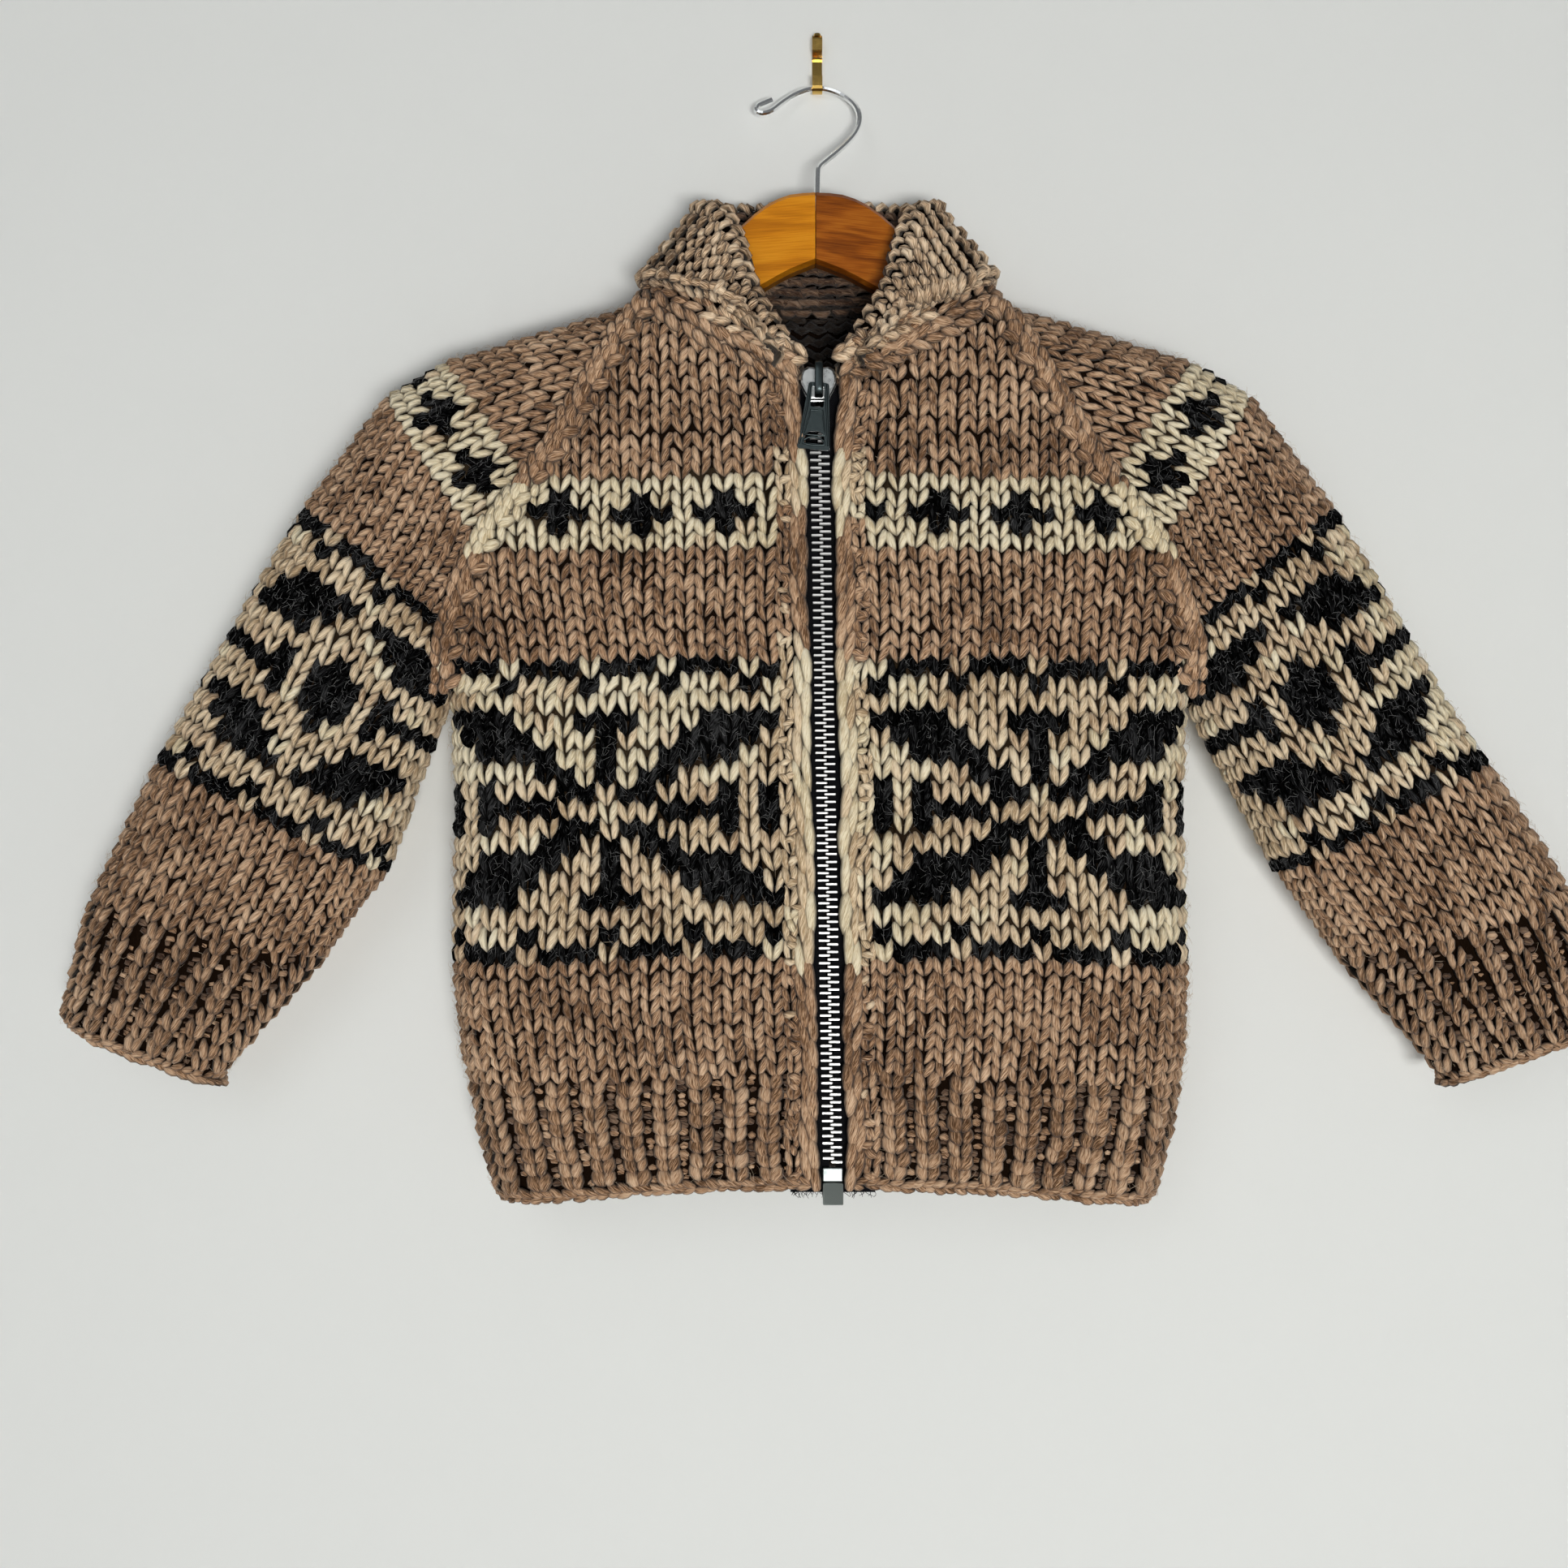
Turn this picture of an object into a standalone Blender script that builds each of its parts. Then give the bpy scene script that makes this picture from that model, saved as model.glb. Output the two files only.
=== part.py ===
"""Zipped, thick-knit cardigan with raglan sleeves and a shawl collar, hanging on a wooden hanger from a wall hook.

Lengths here are millimetres, turned into metres where a mesh is made. +Z is up, -Y is the way the garment faces,
and the wall is the plane y = 0. Left and right are the wearer's: the left front and left sleeve lie at +X.
"""

import math

import bmesh
import bpy
import numpy as np

for scene_object in list(bpy.data.objects):
    bpy.data.objects.remove(scene_object, do_unlink=True)

MM = 0.001
SIDES = (("right", -1), ("left", 1))

# Cloth
CLOTH = 6.0  # wall of the double-strand knit
SEAM_GAP = 0.3
MID_Y = -38.0  # plane of the side folds, half way between front and back
BODY_DEPTH = 29.0  # from that plane to the outer face of a front or of the back
SIDE_REACH = 30.0  # how far in from a side fold the cloth is still turning
RIDGE_REACH = 34.0  # the same, below the shoulder ridge
ARMPIT_REACH = 75.0  # how far up the raglan seam the cloth opens out from the armpit
HEM_RIPPLE = 1.8
RIPPLE_LENGTH = 150.0
ZIP_STILL = 60.0  # the zip keeps the fronts flat this far from it

# Body outline: height, half width, and how far the middle of the section hangs to the left
BODY_OUTLINE = (
    # z, half_width, middle_x
    (-357.0, 195.0, 0.0),
    (-422.0, 192.5, 0.0),
    (-500.0, 194.5, 1.0),
    (-543.0, 191.5, 2.5),
    (-582.0, 182.0, 3.5),
    (-628.0, 170.0, 3.5),
)
HEM_Z = -616.0
HEM_DROP = 10.0  # the hem hangs this much lower at the side folds
ARMPIT_Z = BODY_OUTLINE[0][0]
SIDE_ROWS = (-357.0, -380.0, -410.0, -445.0, -485.0, -525.0, -560.0, -590.0)

# Raglan seam, from the neck down to the armpit
RAGLAN = (
    # x, z
    (89.0, -158.0),
    (103.0, -179.0),
    (117.0, -201.0),
    (131.0, -226.0),
    (148.0, -250.0),
    (168.0, -275.0),
    (180.0, -300.0),
    (190.0, -328.0),
    (195.0, -357.0),
)

# Shoulder ridge, from the middle of the neck out to where the arm drops
RIDGE = (
    # x, z
    (0.0, -118.0),
    (93.0, -151.0),
    (134.0, -162.0),
    (177.0, -176.0),
    (216.0, -191.0),
)

# Sleeve rounds, collar to cuff: the outer fold (the shoulder ridge at first) and the inner end, which is a point
# of the raglan seam as far as the armpit and the underarm fold below it
SLEEVE = (
    # outer_x, outer_z, inner_x, inner_z, half_depth
    (93.0, -152.0, 89.0, -158.0, 29.0),
    (198.0, -184.0, 148.0, -250.0, 29.0),
    (229.0, -202.0, 177.0, -283.0, 28.5),
    (274.0, -262.0, 190.0, -328.0, 28.0),
    (295.0, -297.0, 195.0, -357.0, 27.0),
    (348.0, -389.0, 229.0, -450.0, 25.0),
    (387.0, -469.0, 264.0, -499.0, 22.5),
    (401.0, -530.0, 318.0, -560.0, 21.0),
)
SLEEVE_REACH = 30.0
LEFT_SWAY = 14.0  # the left sleeve hangs further out than the right
LEFT_SWAY_HEIGHT = 110.0

# Neck and collar. The seam follows the panels; the fold and the free edge are set off it.
ZIP_TOP_Z = -197.0
FRONT_NECK_SAG = 1.5
BACK_NECK_RISE = 6.0
COLLAR_ROLL = 4.6  # radius of the fold, at the middle of the cloth
COLLAR = (
    # seam_x, seam_y, seam_z, fold_x, fold_y, fold_z, edge_x, edge_y, edge_z; from the zip to the back of the neck
    (13.0, -64.5, -195.0, 15.5, -66.5, -186.0, 18.5, -70.0, -189.0),
    (23.0, -64.5, -190.8, 23.0, -68.0, -172.0, 27.5, -73.0, -174.0),
    (35.0, -64.2, -185.3, 32.0, -68.5, -159.0, 39.0, -74.0, -162.0),
    (48.0, -64.0, -179.0, 39.5, -66.0, -143.0, 49.5, -75.0, -156.5),
    (62.0, -63.5, -171.5, 45.0, -60.0, -122.5, 62.5, -73.5, -152.0),
    (76.0, -60.5, -163.0, 51.5, -52.0, -107.0, 77.5, -67.0, -145.0),
    (86.0, -52.0, -154.0, 58.0, -45.0, -102.5, 88.5, -54.0, -140.0),
    (89.0, -38.0, -149.0, 61.5, -37.0, -100.5, 92.0, -38.5, -137.5),
    (85.5, -23.0, -152.5, 58.5, -28.0, -98.5, 88.5, -21.0, -136.5),
    (70.0, -15.0, -154.0, 47.0, -19.0, -96.5, 73.0, -10.0, -134.0),
    (40.0, -12.2, -152.2, 27.5, -15.5, -95.0, 41.5, -6.0, -132.0),
    (0.0, -12.0, -151.4, 0.0, -14.5, -94.5, 0.0, -4.5, -131.0),
)

# Zip
ZIP_TOP_X, ZIP_HEM_X = -0.5, 7.0
ZIP_END_Z = -619.5
EDGE_TO_ZIP = 8.5  # from the middle of the chain to the knitted edge of a front
EDGE_TO_SLIDER = 12.0  # the same, beside the slider
EDGE_OPENS_Z = -226.0
TAPE_WIDTH, TAPE_THICK = 20.5, 1.0
TAPE_TO_MIDDLE = 1.6
CHAIN_WIDTH, CHAIN_THICK = 10.0, 2.6
CHAIN_END_Z = -606.0
TAPE_Y = MID_Y - BODY_DEPTH + CLOTH + 1.2
BOX_SIZE = (10.6, 4.6, 11.6)
PIN_SIZE = (10.4, 3.2, 7.2)
SLIDER_TOP_Z, SLIDER_HEIGHT = -191.0, 17.0
SLIDER_TOP_WIDTH, SLIDER_FOOT_WIDTH, SLIDER_THICK = 19.4, 11.5, 6.6
BRIDGE_WIDTH, BRIDGE_THICK, BRIDGE_RISE = 4.4, 1.8, 3.7
PULL_PIN_RADIUS = 1.0
PIN_CLEARANCE = 1.0  # from the pin to the slider, so that the tab's corners pass as it turns
SLOT_CLEARANCE = 1.2  # each side of the bridge
PULL_LENGTH, PULL_HEAD_WIDTH, PULL_FOOT_WIDTH, PULL_THICK = 35.0, 10.4, 17.0, 2.2
PULL_LEAN = 5.0  # degrees, to the wearer's right

# Hanger, half of it: the other half is its mirror
HANGER = (
    # x, top_z, bottom_z
    (0.2, -92.0, -130.0),
    (14.0, -93.3, -135.5),
    (27.0, -99.0, -142.5),
    (41.0, -110.5, -150.5),
    (60.0, -131.0, -164.0),
    (80.0, -152.0, -175.0),
    (89.0, -161.0, -181.0),
    (100.0, -165.5, -186.0),
    (130.0, -173.0, -195.0),
    (165.0, -185.0, -204.0),
)
HANGER_Y = -36.0
HANGER_FORWARD = 0.02  # how far the arms come forward for each millimetre out
HANGER_THICK = 12.0
HANGER_JOINT_X = -1.6

# Steel hook of the hanger and brass hook on the wall
WIRE_RADIUS = 1.65
WIRE_ROUTE = (
    # x, z; from the wood to the curled end
    (-0.5, -91.3),
    (-0.2, -79.0),
    (0.6, -74.3),
    (4.2, -70.3),
    (11.3, -63.5),
    (18.2, -55.7),
    (22.2, -48.0),
    (22.8, -40.0),
    (19.6, -32.6),
    (13.0, -26.6),
    (6.0, -23.4),
    (0.0, -22.6),
    (-6.0, -23.6),
    (-13.0, -27.0),
    (-19.5, -32.0),
    (-25.0, -37.0),
    (-30.0, -39.0),
    (-33.4, -37.4),
    (-32.6, -34.2),
    (-28.8, -32.0),
    (-25.2, -30.2),
)
WIRE_TOP_Y = -4.8
WIRE_LEAN = 0.436  # the hook leans out from the wall by this much for each millimetre down
PLATE_WIDTH, PLATE_THICK = 5.4, 1.2
PLATE_TOP_Z, PLATE_BEND_Z = 8.0, -21.0
CUP_RADIUS = 4.2
CUP_LIP_Z = -17.5
NAIL_RADIUS, NAIL_HEAD_RADIUS = 1.0, 2.3
GUIDE_TOP_Z, GUIDE_FOOT_Z, GUIDE_RISE = 4.6, -6.0, 4.4


# ---------------------------------------------------------------- small tools


def material(name, colour, roughness, metallic=0.0):
    made = bpy.data.materials.new(name)
    made.use_nodes = True
    shader = made.node_tree.nodes["Principled BSDF"]
    shader.inputs["Base Color"].default_value = (*colour, 1.0)
    shader.inputs["Roughness"].default_value = roughness
    shader.inputs["Metallic"].default_value = metallic
    made.diffuse_color = (*colour, 1.0)
    return made


def add_mesh(name, points, faces, finish, smooth=True):
    """A mesh object from points in millimetres, with its faces turned outwards."""
    mesh = bpy.data.meshes.new(name)
    mesh.from_pydata([tuple(float(value) * MM for value in point) for point in points], [], faces)
    shape = bmesh.new()
    shape.from_mesh(mesh)
    bmesh.ops.recalc_face_normals(shape, faces=shape.faces)
    shape.to_mesh(mesh)
    shape.free()
    if smooth:
        mesh.shade_smooth()
        mesh.set_sharp_from_angle(angle=math.radians(40))
    mesh.materials.append(finish)
    made = bpy.data.objects.new(name, mesh)
    bpy.context.scene.collection.objects.link(made)
    return made


def unit(vector):
    return vector / np.linalg.norm(vector)


def column(table, value, key=0, wanted=1):
    """Linear reading of a table: the wanted column where the key column has this value."""
    rows = sorted(table, key=lambda row: row[key])
    return float(np.interp(value, [row[key] for row in rows], [row[wanted] for row in rows]))


def smooth_path(points, per_span):
    """Catmull-Rom curve through the points, as an array with per_span points for each span."""
    points = np.array(points, float)
    padded = np.vstack([2 * points[0] - points[1], points, 2 * points[-1] - points[-2]])
    path = []
    for i in range(len(points) - 1):
        before, start, end, after = padded[i : i + 4]
        for step in range(per_span):
            t = step / per_span
            path.append(
                0.5
                * (
                    2 * start
                    + (end - before) * t
                    + (2 * before - 5 * start + 4 * end - after) * t**2
                    + (3 * start - before - 3 * end + after) * t**3
                )
            )
    path.append(points[-1])
    return np.array(path)


def rise(distance, reach):
    """Share of the full depth this far from a fold: a quarter of an ellipse."""
    share = min(max(distance / reach, 0.0), 1.0)
    return math.sqrt(1 - (1 - share) ** 2)


def wall(name, points, faces, finish, seam_normals=None):
    """Closed cloth wall: the outer skin, the same skin moved in by the cloth, and a rim round each open edge."""
    points = np.array(points, float)
    normals = np.zeros_like(points)
    for face in faces:
        corners = points[list(face)]
        across = np.cross(corners[2] - corners[0], corners[-1] - corners[1])
        for corner in face:
            normals[corner] += across
    outward = points - np.array([points[:, 0].mean(), MID_Y, points[:, 2].mean()])
    if (normals[:, 1] * outward[:, 1]).sum() < 0:
        normals = -normals
    normals /= np.maximum(np.linalg.norm(normals, axis=1), 1e-9)[:, None]
    for corner, normal in (seam_normals or {}).items():
        normals[corner] = unit(np.array(normal, float))
    return thick(name, points, points - normals * CLOTH, faces, finish)


def thick(name, outer, inner, faces, finish):
    """Closed solid between two skins that have the same faces."""
    count = len(outer)
    borders = {}
    for face in faces:
        for a, b in zip(face, face[1:] + face[:1]):
            if (b, a) in borders:
                del borders[(b, a)]
            else:
                borders[(a, b)] = True
    skins = [tuple(face) for face in faces]
    skins += [tuple(corner + count for corner in reversed(face)) for face in faces]
    for a, b in borders:
        # Each rim quad is split from its higher outer corner, so that two rims along one seam match
        if outer[a][2] > outer[b][2]:
            skins += [(b, a, b + count), (a, a + count, b + count)]
        else:
            skins += [(b, a, a + count), (b, a + count, b + count)]
    used = sorted({corner for face in skins for corner in face})
    place = {corner: i for i, corner in enumerate(used)}
    both = np.vstack([outer, inner])
    return add_mesh(name, both[used], [tuple(place[c] for c in face) for face in skins], finish)


def grid_faces(rows, columns, index=None):
    """Quads of a grid of points. index gives a point's number, and by default they run row by row."""
    index = index or (lambda row, col: row * columns + col)
    return [
        (index(r, c), index(r, c + 1), index(r + 1, c + 1), index(r + 1, c))
        for r in range(rows - 1)
        for c in range(columns - 1)
    ]


# ---------------------------------------------------------------- form of the cloth


def side_width(z):
    """Half width of the body: to the side fold, or to the raglan seam above the armpit."""
    if z > ARMPIT_Z:
        return column(RAGLAN, z, key=1, wanted=0)
    return column(BODY_OUTLINE, z)


def middle_x(z):
    return column(BODY_OUTLINE, z, wanted=2)


def zip_x(z):
    return ZIP_TOP_X + (ZIP_HEM_X - ZIP_TOP_X) * (ZIP_TOP_Z - z) / (ZIP_TOP_Z - HEM_Z)


def edge_x(z, sign):
    """Knitted edge of a front beside the zip. The edges part at the slider."""
    open_share = min(max((z - EDGE_OPENS_Z) / (ZIP_TOP_Z - EDGE_OPENS_Z), 0.0), 1.0)
    return zip_x(z) + sign * (EDGE_TO_ZIP + (EDGE_TO_SLIDER - EDGE_TO_ZIP) * open_share)


def seam_opening(z):
    """How far open the cloth is at the raglan seam: 0 at the armpit, 1 well above it."""
    return rise(z - ARMPIT_Z, ARMPIT_REACH)


def ridge_share(x, z):
    return rise(column(RIDGE, abs(x)) - z, RIDGE_REACH)


def ripple(x, z, face):
    """Soft waves of the hanging cloth, growing towards the hem."""
    low = max(ARMPIT_Z - z, 0.0) / (ARMPIT_Z - HEM_Z)
    if face < 0:
        low *= min(abs(x - zip_x(z)) / ZIP_STILL, 1.0)
    return HEM_RIPPLE * low * math.sin(2 * math.pi * (x / RIPPLE_LENGTH + 0.13 * face))


def body_depth(x, z, face):
    """Depth of the body's outer face from the plane of the side folds. face is -1 on the fronts, 1 on the back."""
    from_side = side_width(z) - abs(x - middle_x(z))
    opening = seam_opening(z)
    turn = opening + (1 - opening) * rise(from_side, SIDE_REACH)
    return BODY_DEPTH * ridge_share(x, z) * turn + ripple(x, z, face) * rise(from_side, 2 * SIDE_REACH)


def body_point(x, z, face):
    return np.array([x, MID_Y + face * (body_depth(x, z, face) + SEAM_GAP / 2), z])


def raglan_normal(k, face):
    """Direction out of the cloth at a raglan seam point: downwards at the armpit, outwards higher up."""
    x, z = RAGLAN[k]
    opening = seam_opening(z)
    share = ridge_share(x, z)
    down = math.sqrt(1 - opening**2)
    up = math.sqrt(1 - share**2)
    return (0.0, face * opening * share, up - down)


def hem_z(x):
    return HEM_Z - HEM_DROP * (x / column(BODY_OUTLINE, HEM_Z)) ** 2


# ---------------------------------------------------------------- body panels


def side_station(k, sign):
    """(x, z) of row k on a panel's outer border, counted from the neck."""
    if k < len(RAGLAN):
        x, z = RAGLAN[k]
        return sign * (x - SEAM_GAP / 2), z
    z = (*SIDE_ROWS[1:], None)[k - len(RAGLAN)]
    if z is None:
        z = HEM_Z - HEM_DROP
    return sign * side_width(z) + middle_x(z), z


STATIONS = len(RAGLAN) + len(SIDE_ROWS)


def border_normal(k, sign, face):
    if k < len(RAGLAN):
        return raglan_normal(k, face)
    return (sign, 0.0, 0.0)


def front(name, sign, finish, columns=10):
    points, seam_normals = [], {}
    for k in range(STATIONS):
        border_x, border_z = side_station(k, sign)
        share = min(k / (len(RAGLAN) - 1), 1.0)
        edge_z = border_z if share == 1.0 else ZIP_TOP_Z + (ARMPIT_Z - ZIP_TOP_Z) * share
        zip_side = edge_x(edge_z, sign)
        for c in range(columns):
            across = math.sin(math.pi / 2 * c / (columns - 1))
            x = zip_side + (border_x - zip_side) * across
            z = edge_z + (border_z - edge_z) * across
            z -= FRONT_NECK_SAG * math.sin(math.pi * across) * (1 - share)
            if k == STATIONS - 1:
                z = hem_z(x)
            point = body_point(x, z, -1)
            if c == columns - 1:
                seam_normals[len(points)] = border_normal(k, sign, -1)
                if k >= len(RAGLAN) - 1:
                    point[1] = MID_Y - SEAM_GAP / 2
            points.append(point)
    return wall(name, points, grid_faces(STATIONS, columns), finish, seam_normals)


def back(name, finish, columns=19):
    points, seam_normals = [], {}
    for k in range(STATIONS):
        (low_x, z), (high_x, _) = side_station(k, -1), side_station(k, 1)
        share = min(k / (len(RAGLAN) - 1), 1.0)
        for c in range(columns):
            across = math.sin(math.pi / 2 * (2 * c / (columns - 1) - 1))
            x = (low_x + high_x) / 2 + (high_x - low_x) / 2 * across
            row_z = z + BACK_NECK_RISE * (1 - across**2) * (1 - share)
            if k == STATIONS - 1:
                row_z = hem_z(x)
            point = body_point(x, row_z, 1)
            if c in (0, columns - 1):
                seam_normals[len(points)] = border_normal(k, math.copysign(1, across), 1)
                if k >= len(RAGLAN) - 1:
                    point[1] = MID_Y + SEAM_GAP / 2
            points.append(point)
    return wall(name, points, grid_faces(STATIONS, columns), finish, seam_normals)


# ---------------------------------------------------------------- sleeves


def sway(z, sign):
    share = min(max((ARMPIT_Z - z) / LEFT_SWAY_HEIGHT, 0.0), 1.0)
    return LEFT_SWAY * share**2 * (3 - 2 * share) * (sign > 0)


def sleeve_round(place, sign, steps):
    """Half of one round of the sleeve, from its inner end to its outer fold: (x, z, depth) for each step."""
    at = np.array([np.interp(place, range(len(SLEEVE)), [row[i] for row in SLEEVE]) for i in range(5)])
    outer, inner, half_depth = at[0:2], at[2:4], at[4]
    length = float(np.linalg.norm(outer - inner))
    reach = min(SLEEVE_REACH, length / 2) if inner[1] <= ARMPIT_Z else SLEEVE_REACH
    end_depth = 0.0
    if inner[1] > ARMPIT_Z:
        end_depth = body_depth(sign * inner[0], inner[1], -1) / (half_depth * rise(length, reach))
    half = []
    for step in range(steps + 1):
        q = 0.5 + 0.5 * math.cos(math.pi * step / steps)
        x, z = outer + (inner - outer) * q
        turn = end_depth + (1 - end_depth) * rise(length * (1 - q), reach)
        depth = half_depth * rise(length * q, reach) * turn
        half.append((sign * x + sway(z, sign), z, depth))
    return half


def sleeve_places():
    """Places down the sleeve table for its rounds: one at each raglan point, then evenly to the cuff."""
    inner_z = [row[3] for row in SLEEVE]
    armpit = inner_z.index(ARMPIT_Z)
    raglan = [float(np.interp(-z, [-v for v in inner_z], range(len(SLEEVE)))) for _, z in RAGLAN]
    below = [armpit + 0.5 * (i + 1) for i in range(2 * (len(SLEEVE) - 1 - armpit))]
    return raglan + below


def sleeve(name, sign, finish, steps=10):
    """A tube from cuff to armpit that opens along both raglan seams above it, as one wall."""
    places = sleeve_places()
    columns = 2 * steps + 1
    points, seam_normals = [], {}
    closed_from = len(RAGLAN) - 1
    for k, place in enumerate(places):
        half = sleeve_round(place, sign, steps)
        if k < len(RAGLAN):
            x, z = RAGLAN[k]
            end_depth = half[0][2]
            end_depth += SEAM_GAP / 2 * (k < closed_from)
            half[0] = (sign * (x + SEAM_GAP / 2), z, end_depth)
            for face, col in ((-1, 0), (1, columns - 1)):
                seam_normals[len(points) + col] = raglan_normal(k, face)
        ring = [(x, MID_Y - depth, z) for x, z, depth in half]
        ring += [(x, MID_Y + depth, z) for x, z, depth in reversed(half[:-1])]
        points += ring

    def index(row, col):
        return row * columns + (0 if row >= closed_from and col == columns - 1 else col)

    return wall(name, points, grid_faces(len(places), columns, index), finish, seam_normals)


# ---------------------------------------------------------------- collar


def collar(name, finish, per_span=2):
    """Stand, roll and fall of the collar, swept from one end of the zip round the back of the neck to the other."""
    half = [np.array(row) for row in COLLAR]
    mirrored = [row * np.array([-1, 1, 1] * 3) for row in half]
    stations = smooth_path(mirrored + half[-2::-1], per_span)
    points, columns = [], 0
    for row in stations:
        seam, fold, edge = row[0:3], row[3:6], row[6:9]
        out = unit(np.array([edge[0] - fold[0], edge[1] - fold[1], 0.0]))
        centre = fold - np.array([0.0, 0.0, COLLAR_ROLL])
        inside, outside = centre - out * COLLAR_ROLL, centre + out * COLLAR_ROLL
        section = [seam + (inside - seam) * t for t in (0.0, 0.35, 0.7)]
        for turn in (0, 45, 90, 135, 180):
            angle = math.radians(turn)
            section.append(centre + COLLAR_ROLL * (-out * math.cos(angle) + np.array([0, 0, math.sin(angle)])))
        section += [outside + (edge - outside) * t for t in (0.5, 1.0)]
        columns = len(section)
        points += section
    faces = grid_faces(len(stations), columns)
    points = np.array(points)
    normals = np.zeros_like(points)
    for face in faces:
        corners = points[list(face)]
        across = np.cross(corners[2] - corners[0], corners[3] - corners[1])
        for corner in face:
            normals[corner] += across
    normals /= np.linalg.norm(normals, axis=1)[:, None]
    return thick(name, points + normals * CLOTH / 2, points - normals * CLOTH / 2, faces, finish)


# ---------------------------------------------------------------- zip


def block(name, finish, centre, size, lean=0.0, bevel=0.0):
    """A box with rounded edges, its upright axis leaning towards +X by this many millimetres in its height."""
    points = []
    for z in (-0.5, 0.5):
        for x, y in ((-0.5, -0.5), (0.5, -0.5), (0.5, 0.5), (-0.5, 0.5)):
            points.append((centre[0] + size[0] * x + lean * z, centre[1] + size[1] * y, centre[2] + size[2] * z))
    faces = [(3, 2, 1, 0), (4, 5, 6, 7)] + [(i, (i + 1) % 4, (i + 1) % 4 + 4, i + 4) for i in range(4)]
    made = add_mesh(name, points, faces, finish)
    if bevel:
        rounding = made.modifiers.new("rounding", "BEVEL")
        rounding.width = bevel * MM
        rounding.segments = 2
    return made


def zip_parts(tape_finish, metal, dark_metal):
    top_z, end_z = ZIP_TOP_Z, ZIP_END_Z
    height = top_z - end_z
    middle_z = (top_z + end_z) / 2
    lean = zip_x(top_z) - zip_x(end_z)
    for side, sign in SIDES:
        x = zip_x(middle_z) + sign * (TAPE_TO_MIDDLE + TAPE_WIDTH / 2)
        block(f"zip_tape_{side}", tape_finish, (x, TAPE_Y, middle_z), (TAPE_WIDTH, TAPE_THICK, height), lean)
    chain_top = SLIDER_TOP_Z - SLIDER_HEIGHT - SEAM_GAP
    chain_z = (chain_top + CHAIN_END_Z) / 2
    chain_y = TAPE_Y - (TAPE_THICK + CHAIN_THICK) / 2 - SEAM_GAP
    size = (CHAIN_WIDTH, CHAIN_THICK, chain_top - CHAIN_END_Z)
    lean = zip_x(chain_top) - zip_x(CHAIN_END_Z)
    block("zip_chain", metal, (zip_x(chain_z), chain_y, chain_z), size, lean, bevel=0.6)
    pin_z = CHAIN_END_Z - SEAM_GAP - PIN_SIZE[2] / 2
    block("zip_pin", metal, (zip_x(pin_z), chain_y, pin_z), PIN_SIZE, bevel=0.5)
    box_z = pin_z - PIN_SIZE[2] / 2 - SEAM_GAP - BOX_SIZE[2] / 2
    box_y = TAPE_Y - (TAPE_THICK + BOX_SIZE[1]) / 2 - SEAM_GAP
    block("zip_box", metal, (zip_x(box_z), box_y, box_z), BOX_SIZE, bevel=0.7)
    return slider(metal), pull(dark_metal)


def plate(name, finish, outlines, low_y, high_y):
    """A flat plate in the XZ plane. The first outline is its rim and the others are holes; all run the same way."""
    shape = bmesh.new()
    edges = []
    for outline in outlines:
        corners = [shape.verts.new((x * MM, low_y * MM, z * MM)) for x, z in outline]
        edges += [shape.edges.new((a, b)) for a, b in zip(corners, corners[1:] + corners[:1])]
    filled = bmesh.ops.triangle_fill(shape, use_beauty=True, use_dissolve=False, edges=edges)
    faces = [item for item in filled["geom"] if isinstance(item, bmesh.types.BMFace)]
    grown = bmesh.ops.extrude_face_region(shape, geom=faces)
    moved = [item for item in grown["geom"] if isinstance(item, bmesh.types.BMVert)]
    bmesh.ops.translate(shape, vec=(0, (high_y - low_y) * MM, 0), verts=moved)
    bmesh.ops.recalc_face_normals(shape, faces=shape.faces)
    mesh = bpy.data.meshes.new(name)
    shape.to_mesh(mesh)
    shape.free()
    mesh.materials.append(finish)
    made = bpy.data.objects.new(name, mesh)
    bpy.context.scene.collection.objects.link(made)
    return made


def rounded(corners, radius, steps=3):
    """Outline through these corners, each replaced by a short arc of about this radius."""
    outline = []
    count = len(corners)
    for i, corner in enumerate(corners):
        corner = np.array(corner, float)
        before = unit(np.array(corners[i - 1], float) - corner)
        after = unit(np.array(corners[(i + 1) % count], float) - corner)
        for step in range(steps + 1):
            t = step / steps
            start, end = corner + before * radius, corner + after * radius
            outline.append(tuple((1 - t) ** 2 * start + 2 * t * (1 - t) * corner + t**2 * end))
    return outline


def pin_place():
    """Axis of the pull's pin, under the slider's bridge."""
    z = SLIDER_TOP_Z - SLIDER_HEIGHT * 0.6
    return zip_x(z), slider_face() - PULL_PIN_RADIUS - PIN_CLEARANCE, z


def slider_face():
    return TAPE_Y - TAPE_THICK / 2 - SEAM_GAP - SLIDER_THICK


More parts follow.
